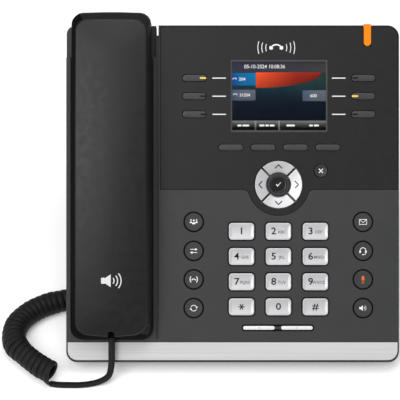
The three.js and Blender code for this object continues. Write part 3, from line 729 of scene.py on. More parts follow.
def make_plug(name, node, body, toward):
    """A clear modular plug with its latch and four gilt contacts; toward is the way its contacts lie."""
    (u0, v0, w0), (u1, v1, w1) = face_box(node)
    thick = w1 - w0
    inner = w0 + (0.12 if toward > 0 else 0.22) * thick
    outer = w1 - (0.22 if toward > 0 else 0.12) * thick
    shell = rounded(u0 + 0.1, u1 - 0.1, inner, outer, 0.5, 3, 2)
    rings = []
    for v, inset in ((v0 + 0.1, 0.3), (v0 + 0.4, 0.0), (v1 - 0.4, 0.0), (v1 - 0.1, 0.3)):
        row = shell(inset)
        rings.append(np.column_stack([row[:, 0], np.full(len(row), v), row[:, 1]]))
    plug = make_piece(name, *stack(rings), CLEAR, body)
    stands_for(plug, "clear_plug", node)
    far = v1 - 0.4
    face = outer if toward > 0 else inner
    middle_u = (u0 + u1) / 2
    contacts = []
    for k in range(4):
        u = middle_u + (k - 1.5) * CONTACT_PITCH
        contacts.append((
            u - 0.17, u + 0.17, far - 3.2, far - 0.2, face - 0.06 * toward, face + 0.12 * toward,
        ))
    boxes(name + "_contacts", contacts, GOLD, body)
    latch_w = (w0, w0 + 0.1 * thick) if toward > 0 else (w1 - 0.1 * thick, w1)
    boxes(name + "_latch", [(middle_u - 1.5, middle_u + 1.5, v0 + 0.2, far - 0.8, *latch_w)], CLEAR, body)
    return plug


def boxes(name, list_of_boxes, look, body, edge=0.0):
    """Boxes (u0, u1, v0, v1, w0, w1) with slightly eased edges, as one piece."""
    bm = bmesh.new()
    for u0, u1, v0, v1, w0, w1 in list_of_boxes:
        place = Matrix.Translation(((u0 + u1) / 2, (v0 + v1) / 2, (w0 + w1) / 2))
        size = Matrix.Diagonal((abs(u1 - u0), abs(v1 - v0), abs(w1 - w0), 1))
        bmesh.ops.create_cube(bm, size=1, matrix=place @ size)
    if edge:
        bmesh.ops.bevel(bm, geom=bm.edges[:], offset=edge, segments=2, affect="EDGES", profile=0.7)
    points = np.array([v.co for v in bm.verts], float)
    faces = [[v.index for v in f.verts] for f in bm.faces]
    bm.free()
    return make_piece(name, points, faces, look, body)


handset_plug = make_plug("handset_end_plug", "handset_plug", "handset", -1)
base_plug = make_plug("base_end_plug", "base_plug", "base", 1)

lead_sides = settled(np.concatenate([flat_side(lead_line), curl_sides[:1].repeat(3, 0)]), 9)[:-3]
lead_piece = cord_mesh("handset_lead", lead_line, lead_sides, None)
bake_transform(lead_piece)
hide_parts("cord_lead_handset")


# ---- keys

NUMBER_LEGENDS = {
    "1": "", "2": "ABC", "3": "DEF", "4": "GHI", "5": "JKL", "6": "MNO",
    "7": "PQRS", "8": "TUV", "9": "WXYZ", "star": "", "0": "", "hash": "",
}
NUMBER_WIDTH, NUMBER_HEIGHT, NUMBER_ROUND = 15.4, 10.3, 2.1
DIGIT_SIZE, LETTER_SIZE = 5.8, 2.6
DIGIT_SHIFT = -2.9
STAR_REACH = 1.9


def number_mark(name, letters):
    """The digit, or the star drawn as three strokes."""
    if name != "star":
        shift = DIGIT_SHIFT if letters else 0.0
        return Print().letters({"hash": "#"}.get(name, name), DIGIT_SIZE, shift, 0.0, 0.09, 1.1)
    mark = Print()
    for turn in (0, 60, 120):
        mark.stroke([-STAR_REACH * heading(turn), STAR_REACH * heading(turn)], 0.6)
    return mark


def number_key(name, letters):
    node = f"number_key_{name}"
    u, v = middle(node)[:2]
    shape = about(u, v, NUMBER_WIDTH, NUMBER_HEIGHT, NUMBER_ROUND, 8, 6)
    height = cap(
        f"{node}_cap", shape, face_box(node)[1][2], 0.4, -0.5, KEY_SILVER, "silver_key_plastic", node, 4.9,
    )[1]
    number_mark(name, letters).lay(f"{node}_digit", u, v, height, DARK_INK, node)
    if letters:
        small = Print().letters(letters, LETTER_SIZE, 2.0, -0.5, 0.05)
        small.lay(f"{node}_letters", u, v, height, GREY_INK, node)


for legend, letters in NUMBER_LEGENDS.items():
    number_key(legend, letters)

KEY_GAP = 0.9
PILL_CROWN = 0.15


def pill_key(node):
    low, high = face_box(node)
    u, v = (low[:2] + high[:2]) / 2
    width, height = high[:2] - low[:2] - 2 * KEY_GAP
    shape = about(u, v, width, height, height / 2 - 0.01, 10, 6)
    surface = cap(
        f"{node}_cap", shape, high[2] - PILL_CROWN, 0.35, PILL_CROWN, KEY_GREY, "grey_key_plastic", node,
        height / 2 - 0.1,
    )[1]
    return u, v, width, surface


LIT_LED = (3.8, 1.1, 0.12, 1.0)  # length, width, distance from the key's end, share of the full lift
DARK_LED = (3.4, 0.85, 0.25, 0.3)
LIT = ("line_key_1", "line_key_5")
LED_FOOT = 0.2
LED_LOWEST = 0.72


def indicator(node, u, v, key_width, surface, side):
    """A line key's window, at the end of the key that is nearer to the display."""
    length, width, margin, share = LIT_LED if node in LIT else DARK_LED
    ring = about(u + side * (key_width / 2 - length / 2 - margin), v, length, width, 0.4, 5, 2)
    rows = [at_height(ring(0), LED_FOOT)]
    for inset, lift in ((0.0, 0.1), (0.15, 0.18), (0.35, 0.2)):
        row = ring(inset)
        rows.append(at_height(row, np.maximum(surface(row), LED_LOWEST) + lift * share))
    make_piece(f"{node}_indicator", *stack(rows), LED_ON if node in LIT else LED_OFF, node)


for k in range(1, 7):
    indicator(f"line_key_{k}", *pill_key(f"line_key_{k}"), 1 if k <= 3 else -1)
for k in range(1, 5):
    pill_key(f"soft_key_{k}")


ICON = 1.35


def envelope():
    mark = Print(ICON).stroke([(-2.2, -1.5), (2.2, -1.5), (2.2, 1.5), (-2.2, 1.5)], 0.22, True)
    return mark.stroke([(-2.1, 1.4), (0, -0.35), (2.1, 1.4)], 0.22)


def headset():
    mark = Print(ICON).ring(0, 0.2, 1.75, 0.28, -25, 205, 20)
    mark.pad(-1.75, -0.45, 0.95, 1.6, 0.4).pad(1.75, -0.45, 0.95, 1.6, 0.4)
    mark.stroke([(1.75, -1.2), (1.4, -1.95), (0.5, -2.25)], 0.2)
    return mark.pad(0.1, -2.25, 1.0, 0.6, 0.28)


def microphone():
    mark = Print(ICON).pad(0, 0.85, 1.5, 2.6, 0.74, 6)
    mark.ring(0, 0.6, 1.35, 0.16, 200, 340, 14)
    mark.stroke([(0, -0.75), (0, -2.0)], 0.2)
    return mark.bar(-0.9, 0.9, -2.25, -1.95)


def loudspeaker_mark():
    mark = Print(ICON)
    mark.fill([(-2.2, -0.65), (-1.3, -0.65), (-0.1, -1.6), (-0.1, 1.6), (-1.3, 0.65), (-2.2, 0.65)])
    mark.ring(-0.2, 0, 1.1, 0.16, -45, 45, 8)
    return mark.ring(-0.2, 0, 2.0, 0.18, -48, 48, 10)


def conference():
    mark = Print(ICON)
    for x, y, size in ((0, 0.35, 1.0), (-1.7, 0.75, 0.78), (1.7, 0.75, 0.78)):
        mark.dot(x, y + 0.55 * size, 0.55 * size)
        mark.fill(np.concatenate([
            arc(x, y - 1.55 * size, 1.0 * size, 0, 180, 14), [(x - 1.0 * size, y - 1.75 * size)],
            [(x + 1.0 * size, y - 1.75 * size)],
        ]))
    return mark


def transfer():
    mark = Print(ICON)
    for side in (-1, 1):
        mark.stroke([(-2.1 * side, 0.95 * side), (1.0 * side, 0.95 * side)], 0.28)
        mark.fill([(0.8 * side, 0.15 * side), (2.3 * side, 0.95 * side), (0.8 * side, 1.75 * side)])
    return mark


def hold():
    mark = Print(ICON).ring(1.0, 0, 3.2, 0.36, 146, 214, 12).ring(-1.0, 0, 3.2, 0.36, -34, 34, 12)
    mark.ring(0, -1.0, 1.3, 0.34, 40, 140, 10)
    return mark.bar(-1.35, -0.65, -0.5, 0.05).bar(0.65, 1.35, -0.5, 0.05)


def redial():
    mark = Print(ICON).ring(0, 0, 1.75, 0.26, 20, 155, 14).ring(0, 0, 1.75, 0.26, 200, 335, 14)
    mark.fill([(1.1, 0.9), (2.5, 0.8), (1.75, -0.3)])
    return mark.fill([(-1.1, -0.9), (-2.5, -0.8), (-1.75, 0.3)])


ROUND_MARKS = {
    "conference": conference, "transfer": transfer, "hold": hold, "redial": redial,
    "message": envelope, "headset": headset, "mute": microphone, "speaker": loudspeaker_mark,
}
ROUND_RADIUS = 5.4
for name, draw in ROUND_MARKS.items():
    node = f"{name}_key"
    u, v, top = (*middle(node)[:2], face_box(node)[1][2])
    shape = disc(u, v, ROUND_RADIUS, 56)
    height = cap(f"{node}_cap", shape, top, 0.3, -0.18, KEY_PANEL, "grey_key_plastic", node, 5.2)[1]
    draw().lay(f"{node}_icon", u, v, height, MUTE_ON if name == "mute" else WHITE_INK, node)

NAV_CENTRE = middle("ok_key")[:2]
NAV_DIRECTIONS = {"right": 0, "up": 90, "left": 180, "down": 270}
NAV_OUTER, NAV_INNER, NAV_GAP = 14.35, 7.35, 1.1
NAV_FALL, FALL_START, FALL_REACH, FALL_LIMIT = 1.75, 14.2, 6.5, 1.05
ARROW_TIP, ARROW_DEEP, ARROW_HALF = 12.0, 2.1, 2.2


def nav_height(top):
    """The height of a navigation key's top, which slopes down towards the middle of the ring."""
    return lambda points: top - NAV_FALL * np.clip(
        (FALL_START - np.hypot(*(points - NAV_CENTRE).T)) / FALL_REACH, 0, FALL_LIMIT)


def nav_key(node, direction):
    """A quarter of the navigation ring and its arrow."""
    ring = sector(*NAV_CENTRE, NAV_OUTER, NAV_INNER, NAV_GAP, direction)
    height = nav_height(face_box(node)[1][2])
    rows = [at_height(ring(0), KEY_LOW)]
    for inset, drop in ((0.0, 0.4), (0.03, 0.25), (0.12, 0.12), (0.25, 0.03), (0.4, 0.0)):
        rows.append(at_height(ring(inset), height(ring(inset)) - drop))
    for inset in (0.8, 1.4, 2.2, 3.0, 3.42):
        rows.append(at_height(ring(inset), height(ring(inset))))
    piece = make_piece(f"{node}_cap", *stack(rows), KEY_SILVER, node)
    stands_for(piece, "silver_key_plastic", node)
    forward = heading(direction)
    aside = np.array([-forward[1], forward[0]])
    tip = NAV_CENTRE + forward * ARROW_TIP
    back = tip - forward * ARROW_DEEP
    bends = [back + aside * ARROW_HALF, tip, back - aside * ARROW_HALF]
    chevron = np.concatenate([np.linspace(bends[k], bends[k + 1], 7)[:6] for k in (0, 1)] + [bends[2:]])
    Print().stroke(chevron, 0.6).lay(f"{node}_arrow", 0, 0, height, DARK_INK, node, 0.08)


for name, direction in NAV_DIRECTIONS.items():
    nav_key(f"nav_key_{name}", direction)


def turned_key(node, rim, profile, steps):
    """A round key with straight sides and a top turned from radii and drops below its highest point."""
    u, v, top = (*middle(node)[:2], face_box(node)[1][2])
    rows = [(0, KEY_LOW), (rim, KEY_LOW)] + [(reach, top - drop) for reach, drop in profile]
    piece = turned(f"{node}_cap", u, v, rows, KEY_DARK, node, steps)
    stands_for(piece, "grey_key_plastic", node)
    return piece, u, v, top


OK_BUTTON = 5.2
ok, ok_u, ok_v, ok_top = turned_key("ok_key", 6.75, [
    (6.75, 0.35), (6.68, 0.15), (6.5, 0.05), (6.2, 0), (5.6, 0), (5.3, 0.06), (5.05, 0.25), (4.8, 0.55),
    (4.4, 0.75), (3.6, 0.72), (2.6, 0.66), (1.4, 0.62), (0, 0.6),
], 64)
ok.data.materials.append(GLOSS_BLACK)
for face in ok.data.polygons:
    spot = np.mean([ok.data.vertices[i].co for i in face.vertices], 0)
    u, v, w = (turned_back(spot) - ORIGIN) / MM
    if np.hypot(u - ok_u, v - ok_v) < OK_BUTTON and w > 0:
        face.material_index = 1
check = Print().fill([(-1.6, 0.1), (-1.05, 0.5), (-0.6, -0.35), (1.4, 1.55), (1.55, 1.4), (-0.7, -1.25)])
check.lay("ok_key_check", ok_u, ok_v, level(ok_top - 0.66), WHITE_INK, "ok_key", 0.08)

_, u, v, top = turned_key("cancel_key", 3.95, [
    (3.95, 0.25), (3.85, 0.06), (3.6, 0), (3.2, 0.1), (2.4, 0.32), (1.4, 0.45), (0, 0.5),
], 48)
cross = Print().stroke([(-1.25, -1.25), (1.25, 1.25)], 0.5).stroke([(-1.25, 1.25), (1.25, -1.25)], 0.5)
cross.lay("cancel_key_cross", u, v, level(top - 0.42), WHITE_INK, "cancel_key", 0.08)

ROCKER_U, ROCKER_V = middle("volume_rocker")[0], 20.9
ROCKER_TOP = face_box("volume_rocker")[1][2]
PAD_REACH, PAD_SIZE = 11.55, (19.2, 2.3, 1.14)
for side, sign in ((-1, "minus"), (1, "plus")):
    shape = about(ROCKER_U + side * PAD_REACH, ROCKER_V, *PAD_SIZE, 8, 6)
    height = cap(
        f"volume_pad_{sign}", shape, ROCKER_TOP - 0.12, 0.3, 0.1, PAD_SILVER_LIT, "silver_key_plastic",
        "volume_rocker", 1.1,
    )[1]
    mark = Print().bar(-0.8, 0.8, -0.14, 0.14)
    if side > 0:
        mark.bar(-0.14, 0.14, -0.8, 0.8)
    mark.lay(f"volume_{sign}_mark", ROCKER_U + side * 11.2, ROCKER_V, height, GREY_INK, "volume_rocker")
boxes("volume_bridge", [(ROCKER_U - 3.0, ROCKER_U + 3.0, ROCKER_V - 0.8, ROCKER_V + 0.8, KEY_LOW, -0.15)],
      KEY_PANEL, "volume_rocker", 0.15)

NUMBER_OPENING = (16.1, 11.0, 2.45)
ROUND_OPENING = 5.87
ROCKER_OPENING = (43.3, 3.3, 1.6)
# Widths of the painted shade round the number key and rocker openings, and round the round keys.
GAP_SHADE_WIDTH, ROUND_GAP_SHADE_WIDTH = 0.85, 0.95
HOUSING_W = 0.0


def gap_shade():
    """Painted shade round the openings of the number keys, round keys and rocker: a flat black band where
    the gaps beside the keys fall into shade.
    """
    mark = Print()
    for name in NUMBER_LEGENDS:
        opening = about(*middle(f"number_key_{name}")[:2], *NUMBER_OPENING, 8, 1)(0)
        mark.stroke(opening, GAP_SHADE_WIDTH, True)
    for name in ROUND_MARKS:
        mark.ring(*middle(f"{name}_key")[:2], ROUND_OPENING, ROUND_GAP_SHADE_WIDTH, steps=48)
    mark.stroke(about(ROCKER_U, ROCKER_V, *ROCKER_OPENING, 8, 1)(0), GAP_SHADE_WIDTH, True)
    mark.lay("key_surrounds", 0, 0, level(HOUSING_W), PAINTED_SHADE, "base", 0.015)


gap_shade()

# ---- display

SCREEN_U, SCREEN_V = middle("display_window")[:2]
HALF_X, HALF_Y = 28.5, 20.9
GLASS_LOW, GLASS_HIGH = face_box("display_window")[0][2], face_box("display_window")[1][2]
PICTURE_W = GLASS_LOW - 0.4
GLOW = 0.62


def picture_look():
    """The display's own light: each face's colour is kept on the mesh."""
    look = Look("display_picture", (0, 0, 0), 0.3, Specular_IOR_Level=0.04)
    paint = look.node("ShaderNodeAttribute", attribute_name="paint")
    look.link(paint.outputs["Color"], look.shader.inputs["Emission Color"])
    look.set("Emission Strength", GLOW)
    dim = look.node("ShaderNodeHueSaturation", Value=0.4)
    look.link(paint.outputs["Color"], dim.inputs["Color"])
    look.link(dim.outputs["Color"], look.shader.inputs["Base Color"])
    look.vary("Roughness", look.noise(3000.0), 0.3, 0.45)
    return look.material


PICTURE = picture_look()


def linear(red, green, blue):
    """A colour given from 0 to 255, as linear light."""
    share = np.array([red, green, blue], float) / 255
    return np.where(share <= 0.04045, share / 12.92, ((share + 0.055) / 1.055) ** 2.4)


def mixed(stops, t):
    """Colours along a list of (place, colour) stops, in linear light."""
    places = [place for place, _ in stops]
    colours = np.array([linear(*colour) for _, colour in stops])
    t = np.clip(t, places[0], places[-1])
    return np.stack([np.interp(t, places, colours[:, k]) for k in range(3)], -1)


def graded(stops, upward=False, low=1.0, high=1.0):
    """A sheet's colours: stops across it or up it, with its light changing from low to high."""

    def colour_at(x, s, t):
        return mixed(stops, t if upward else s) * (low + (high - low) * t[..., None])

    return colour_at


def paint_grid(name, left, right, low, high, lift, colour_at, across=40, up=20):
    """A sheet from left to right and from low, a number or a function of x, to high, with its colours."""
    s, t = np.meshgrid(np.linspace(0, 1, across + 1), np.linspace(0, 1, up + 1))
    x = left + (right - left) * s
    bottom = low(x) if callable(low) else low
    y = bottom + (high - bottom) * t
    colours = colour_at(x, s, t).reshape(-1, 3)
    points = np.column_stack([
        SCREEN_U + x.ravel(), SCREEN_V + y.ravel(), np.full(x.size, PICTURE_W + lift),
    ])
    row = across + 1
    faces = [
        (j * row + i, j * row + i + 1, (j + 1) * row + i + 1, (j + 1) * row + i)
        for j in range(up) for i in range(across)
    ]
    mesh = bpy.data.meshes.new(name)
    mesh.from_pydata([tuple(p) for p in world(points)], [], faces)
    paint = mesh.color_attributes.new("paint", "FLOAT_COLOR", "POINT")
    rows = np.column_stack([colours, np.ones(len(colours))])
    paint.data.foreach_set("color", rows.ravel().astype(np.float32))
    mesh.materials.append(PICTURE)
    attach(placed(name, mesh), "base")


STATUS_LOW, SOFT_HIGH = 14.45, -15.0
LABEL_LIFT = 0.09
BAND_LEFT, BAND_RIGHT = -14.0, 26.0
BAND_LOW, BAND_TOP = 5.0, 14.4
STATUS = [(0, (52, 54, 72)), (0.5, (54, 52, 62)), (1, (62, 60, 60))]
NIGHT = [(0, (5, 12, 24)), (0.3, (9, 18, 32)), (0.55, (14, 32, 44)), (0.8, (24, 56, 62)), (1, (30, 60, 58))]
DUSK = linear(44, 60, 30) * 0.5
WARM = [(0, (228, 80, 40)), (0.6, (148, 38, 26)), (1, (136, 36, 26))]
BLUE = [(0, (8, 72, 146)), (0.35, (12, 98, 152)), (1, (16, 110, 160))]
SLATE = [(0, (62, 82, 116)), (0.25, (84, 91, 106)), (1, (90, 95, 104))]
SOFT = [(0, (0, 0, 0)), (0.35, (20, 20, 20)), (0.75, (84, 84, 84)), (1, (122, 122, 122))]
DIVIDER = [(0, (40, 40, 40)), (1, (150, 150, 150))]


def wallpaper(x, s, t):
    """A dark gradient that turns greenish towards its upper right."""
    green = (np.clip((x - 4) / 24, 0, 1) * np.clip((t - 0.45) / 0.5, 0, 1))[..., None]
    return mixed(NIGHT, t) * (1 - 0.55 * green) + DUSK * green


def band_low(x):
    """The lower edge of the wallpaper's plain warm band: a quarter of an ellipse."""
    share = (x - BAND_LEFT) / (BAND_RIGHT - BAND_LEFT)
    return BAND_TOP - (BAND_TOP - BAND_LOW) * np.sqrt(np.clip(1 - share**2, 0, 1))


paint_grid(
    "status_bar", -HALF_X, HALF_X, STATUS_LOW, HALF_Y, 0.0, graded(STATUS, low=1.05, high=0.85), 20, 4)
paint_grid("wallpaper", -HALF_X, HALF_X, SOFT_HIGH, STATUS_LOW, 0.0, wallpaper, 40, 30)
paint_grid("wallpaper_band", BAND_LEFT, BAND_RIGHT, band_low, BAND_TOP, 0.03,
           graded(WARM, low=0.55, high=1.1), 40, 10)
for key, left, right, low, high, stops, brightest in (
    (1, -HALF_X, -14.1, 6.4, 14.0, BLUE, 1.1),
    (2, -HALF_X, -14.3, -2.7, 3.8, SLATE, 1.15),
    (5, 14.3, HALF_X, -3.1, 3.5, SLATE, 1.15),
):
    look = graded(stops, low=0.85, high=brightest)
    paint_grid(f"line_label_{key}", left, right, low, high, LABEL_LIFT, look, 12, 8)
for k, (left, right) in enumerate(((-HALF_X, -14.7), (-13.9, -0.4), (0.4, 14.1), (14.1, HALF_X))):
    look = graded(SOFT, upward=True)
    paint_grid(f"soft_label_{k + 1}", left, right, -HALF_Y, SOFT_HIGH, LABEL_LIFT, look, 4, 10)
for k, place in enumerate((-14.3, 0.0)):
    look = graded(DIVIDER, upward=True)
    paint_grid(f"soft_divider_{k + 1}", place - 0.3, place + 0.3, -HALF_Y, SOFT_HIGH, 0.1, look, 1, 4)


def screen_print(name, mark, x, y, lift=0.14):
    return mark.lay(name, SCREEN_U + x, SCREEN_V + y, level(PICTURE_W + lift), SCREEN_WHITE, "base", 0.03)


for name, text, size, x, y, bold, stretch in (
    ("clock_digits", "05-10-2024 10:08:36", 3.2, -8.7, 17.8, 0.015, 0.93),
    ("line_digits_1", "204", 2.7, -22.4, 10.2, 0.03, 1.0),
    ("line_digits_2", "31204", 2.6, -20.8, 0.5, 0.03, 1.0),
    ("line_digits_5", "600", 2.7, 21.0, 0.1, 0.03, 1.0),
):
    screen_print(name, Print().letters(text, size, 0, 0, bold, stretch), x, y)


def greeked(widths, height=1.15, gap=0.45):
    """A row of rounded bars in place of a word."""
    mark = Print()
    x = -(sum(widths) + gap * (len(widths) - 1)) / 2
    for width in widths:
        mark.pad(x + width / 2, 0, width, height, height / 2 - 0.01, 5)
        x += width + gap
    return mark


SOFT_WORDS = ((-21.7, (2.6, 4.2)), (-7.3, (3.2, 2.2, 3.0)), (7.1, (5.2,)), (21.3, (2.4, 3.2)))
for k, (x, widths) in enumerate(SOFT_WORDS):
    screen_print(f"soft_label_bars_{k + 1}", greeked(widths), x, -17.9)
for k, (x, y) in enumerate(((-27.0, 10.4), (-26.6, 0.9))):
    small = Print().ring(0, -0.6, 1.2, 0.32, 30, 150, 10)
    small.bar(-1.25, -0.55, -0.25, 0.3).bar(0.55, 1.25, -0.25, 0.3)
    screen_print(f"line_state_{k + 1}", small, x, y)


def make_window():
    """The frame round the display, and the clear pane in it."""
    outer = about(SCREEN_U, SCREEN_V, 58.6, 43.8, 0.6, 4, 3)(0)
    inner = about(SCREEN_U, SCREEN_V, 2 * HALF_X, 2 * HALF_Y, 0.3, 4, 3)
    points, faces = stack([
        at_height(outer, GLASS_LOW - 0.3), at_height(outer, GLASS_HIGH),
        at_height(inner(0), GLASS_HIGH - 0.05), at_height(inner(0), GLASS_LOW - 0.3),
    ], False, False)
    count = len(outer)
    faces += [(3 * count + i, 3 * count + (i + 1) % count, (i + 1) % count, i) for i in range(count)]
    make_piece("display_window_frame", points, faces, WINDOW_EDGE, "base")
    pane = make_piece("display_glass_pane", *stack([
        at_height(inner(0.02), GLASS_LOW), at_height(inner(0.02), GLASS_HIGH - 0.15),
        at_height(inner(0.12), GLASS_HIGH - 0.08),
    ]), PANE, "base")
    stands_for(pane, "display_glass", "display_window")


make_window()

# ---- prints on the face

PANEL_W = face_box("display_panel")[1][2]
PANEL_U = 28.1
DASH_REACH, DASH_HALF_LENGTH, DASH_HALF_WIDTH = 36.3, 4.1, 0.29
LINE_V = (172.5, 161.5, 150.5)
for side, name in ((-1, "left"), (1, "right")):
    for k, v in enumerate(LINE_V):
        dash = Print().bar(-DASH_HALF_LENGTH, DASH_HALF_LENGTH, -DASH_HALF_WIDTH, DASH_HALF_WIDTH)
        place = PANEL_U + side * DASH_REACH
        dash.lay(f"line_dash_{name}_{k + 1}", place, v, level(PANEL_W), WHITE_INK, "base", 0.02)

BADGE_PLACE = (26.5, 191.0)
badge = Print().ring(0, -1.9, 3.7, 0.8, 38, 142, 16)
badge.pad(-3.1, -0.1, 2.1, 2.1, 0.5, 3).pad(3.1, -0.1, 2.1, 2.1, 0.5, 3)
for side in (0, 180):
    for radius in (6.4, 8.8, 11.2):
        badge.ring(0, 0, radius, 0.42, side - 20, side + 20, 8)
badge.lay("panel_badge", *BADGE_PLACE, level(PANEL_W), WHITE_INK, "base", 0.03)

# ---- handset

(hu0, hv0, hw0), (hu1, hv1, hw1) = face_box("handset_back_shell")
HANDSET_U, HANDSET_V = (hu0 + hu1) / 2, (hv0 + hv1) / 2
LEFT_BAND, RIGHT_BAND, TOP_BAND = 3.1, 3.2, 4.8
LOW_BAND = 1.8
HANDSET_CORNER = 7.0
ARCH = 6.0
CREASE_DROP = 1.5
CROWN, CROWN_FADE = 1.1, 14.0
LOW_BOW, TOP_BOW, BOW_REACH = 3.0, 0.9, 14.0
CHAMFER = 0.55
FLANK = ((0, 5.0), (0.02, 4.4), (0.1, 3.7), (0.4, 2.5), (0.75, 1.3), (1.0, 0.45))
TOP_INSETS = (0.0, 0.3, 0.9, 2.0, 3.5, 5.5, 8.0, 10.5, 13.0, 15.5, 18.0, 20.0)
FLANK_RINGS = len(FLANK) + 1
PLUG_OPENING = (2.2, 4.6, -4.0, 6.3)  # half width, reach up the handset, and from one w to another
NOTCH = (2.0, 4.4, 7.3, 40.0)
FACE_MIDDLE = (hu0 + LEFT_BAND + hu1 - RIGHT_BAND) / 2
FACE_HALF = (hu1 - hu0 - LEFT_BAND - RIGHT_BAND) / 2


def crest(v):
    """The crease's height along the handset, which is arched."""
    return hw1 - CREASE_DROP - ARCH * ((v - HANDSET_V) / ((hv1 - hv0) / 2)) ** 2


def handset_height(points):
    """The handset's back, crowned across, with the crown fading out towards its ends."""
    across = (points[:, 0] - FACE_MIDDLE) / FACE_HALF
    away = np.abs(across) ** np.where(across < 0, 1.6, 2.2)
    to_end = np.minimum(points[:, 1] - hv0 - LOW_BAND, hv1 - TOP_BAND - points[:, 1])
    fade = np.clip(to_end / CROWN_FADE, 0, 1) ** 0.8
    return crest(points[:, 1]) + CROWN * fade * np.clip(1 - away, 0, 1) - 0.05


def bowed(ring, share):
    """A ring of the handset: its top edge is bowed, and so is the crease along its lower edge."""
    across = ((ring[:, 0] - HANDSET_U) / ((hu1 - hu0) / 2)) ** 2
    lift = share * LOW_BOW * across * np.clip(1 - (ring[:, 1] - hv0) / BOW_REACH, 0, 1)
    lift -= TOP_BOW * across * np.clip(1 - (hv1 - ring[:, 1]) / BOW_REACH, 0, 1)
    return np.column_stack([ring[:, 0], ring[:, 1] + lift])


def notch_cutter(half, high, low_w, high_w):
    shape = rounded(HANDSET_U - half, HANDSET_U + half, hv0 - 8, high, half - 0.05, 6, 1)
    rings = [at_height(shape(0), low_w), at_height(shape(0), high_w)]
    return make_piece("notch_cutter", *stack(rings), HANDSET_SHADED, None)


def cut_out(piece, cutter):
    cut = piece.modifiers.new("notch", "BOOLEAN")
    cut.operation = "DIFFERENCE"
    cut.object = cutter
    cut.solver = "EXACT"
    bpy.context.view_layer.update()
    done = bpy.data.meshes.new_from_object(piece.evaluated_get(bpy.context.evaluated_depsgraph_get()))
    piece.modifiers.clear()
    piece.data = done
    bpy.data.objects.remove(cutter)


def make_handset_back():
    outline = rounded(hu0, hu1, hv0, hv1, HANDSET_CORNER, 9, 15)
    bands = np.array([LEFT_BAND, RIGHT_BAND, LOW_BAND, TOP_BAND])
    rows = [
        at_height(bowed(outline(0, (0.25,) * 4), 0), hw0),
        at_height(bowed(outline(0, (0,) * 4), 0), hw0 + 0.3),
    ]
    for share, drop in FLANK:
        row = bowed(outline(0, tuple((bands - CHAMFER) * share)), share)
        rows.append(at_height(row, crest(row[:, 1]) - drop))
    for inset in TOP_INSETS:
        row = bowed(outline(0, tuple(bands + inset)), 1)
        rows.append(at_height(row, handset_height(row)))
    spine = row.copy()
    spine[:, 0] = FACE_MIDDLE
    rows.append(at_height(spine, handset_height(spine)))
    shell = make_piece("handset_back", *stack(rows, closed_high=False), HANDSET_BLACK, "handset")
    shell.data.materials.append(HANDSET_SHADED)
    shell.data.materials.append(HANDSET_HALF_SHADED)
    bm = bmesh.new()
    bm.from_mesh(shell.data)
    bm.faces.ensure_lookup_table()
    # Flank faces that turn left or steeply down get the darker copy, painted shade; faces that turn down
    # less get the half-dark copy.
    for face in bm.faces[:FLANK_RINGS * len(row)]:
        across, along, _ = turned_back(np.array(face.normal))
        painted_dark = across < -0.2 or along < -0.62
        face.material_index = 1 if painted_dark else 2 if along < -0.2 else 0
    bmesh.ops.remove_doubles(bm, verts=bm.verts, dist=2e-6)
    bm.to_mesh(shell.data)
    bm.free()
    for half, reach, low_w, high_w in PLUG_OPENING, NOTCH:
        cut_out(shell, notch_cutter(half, hv0 + reach, low_w, high_w))
    shell.data.shade_smooth()
    shell.data.set_sharp_from_angle(angle=math.radians(19))
    return shell


stands_for(make_handset_back(), "matte_black_plastic", "handset_back_shell")

WAVES_PLACE = (-72.4, 51.6)
waves = Print().pad(-5.4, -1.4, 2.4, 3.6, 0.5, 3)
waves.fill([(-4.4, -2.9), (-0.8, -5.2), (-0.8, 2.4), (-4.4, 0.1)])
for radius in (2.6, 4.7, 6.8):
    waves.ring(-1.4, -1.4, radius, 0.66, -40, 40, 10)
waves.lay("handset_badge", *WAVES_PLACE, handset_height, HANDSET_INK, "handset", 0.03)

# ---- screws, label, sockets, and the sound holes as painted shade

REAR_W = face_box("rear_housing")[0][2]
CUP_W = face_box("handset_front_shell")[0][2]
SOUND_HOLE = 0.8
SCREW_RADIUS = 2.6


def screw(name, u, v, w, body):
    """A cross-head screw whose head faces the back; its cross recess is a flat dark cross of painted shade.
    """
    rim = SCREW_RADIUS
    head = [(0, w + 0.1), (rim, w + 0.1), (rim, w - 0.15), (rim - 0.25, w - 0.35), (0, w - 0.4)]
    turned(name, u, v, head, STEEL, body, 32)
    slot = SCREW_RADIUS * 0.6
    cross = Print().stroke([(-slot, 0), (slot, 0)], 0.5).stroke([(0, -slot), (0, slot)], 0.5)
    cross.lay(f"{name}_recess_shade", u, v, level(w - 0.42), PAINTED_SHADE, body, -0.02)


for side, u in (("left", -88.0), ("right", 88.0)):
    for end, v in (("low", 34.0), ("high", 138.0)):
        screw(f"housing_screw_{side}_{end}", u, v, REAR_W, "base")

LABEL_U, LABEL_V = -24.0, 46.0
LABEL_HALF_U, LABEL_HALF_V = 26.0, 13.0
ROW_LEFT, ROW_TOP, ROW_PITCH, ROW_HALF = -23.0, 9.0, 4.2, 0.6
boxes("rating_label", [(
    LABEL_U - LABEL_HALF_U, LABEL_U + LABEL_HALF_U, LABEL_V - LABEL_HALF_V, LABEL_V + LABEL_HALF_V,
    REAR_W - 0.12, REAR_W + 0.05,
)], LABEL_WHITE, "base")
label_rows = Print()
for k, width in enumerate((30.0, 44.0, 38.0, 41.0, 26.0)):
    y = ROW_TOP - ROW_PITCH * k
    label_rows.bar(ROW_LEFT, ROW_LEFT + width, y - ROW_HALF, y + ROW_HALF)
label_rows.lay("rating_label_rows", LABEL_U, LABEL_V, level(REAR_W - 0.12), GREY_INK, "base", -0.02)

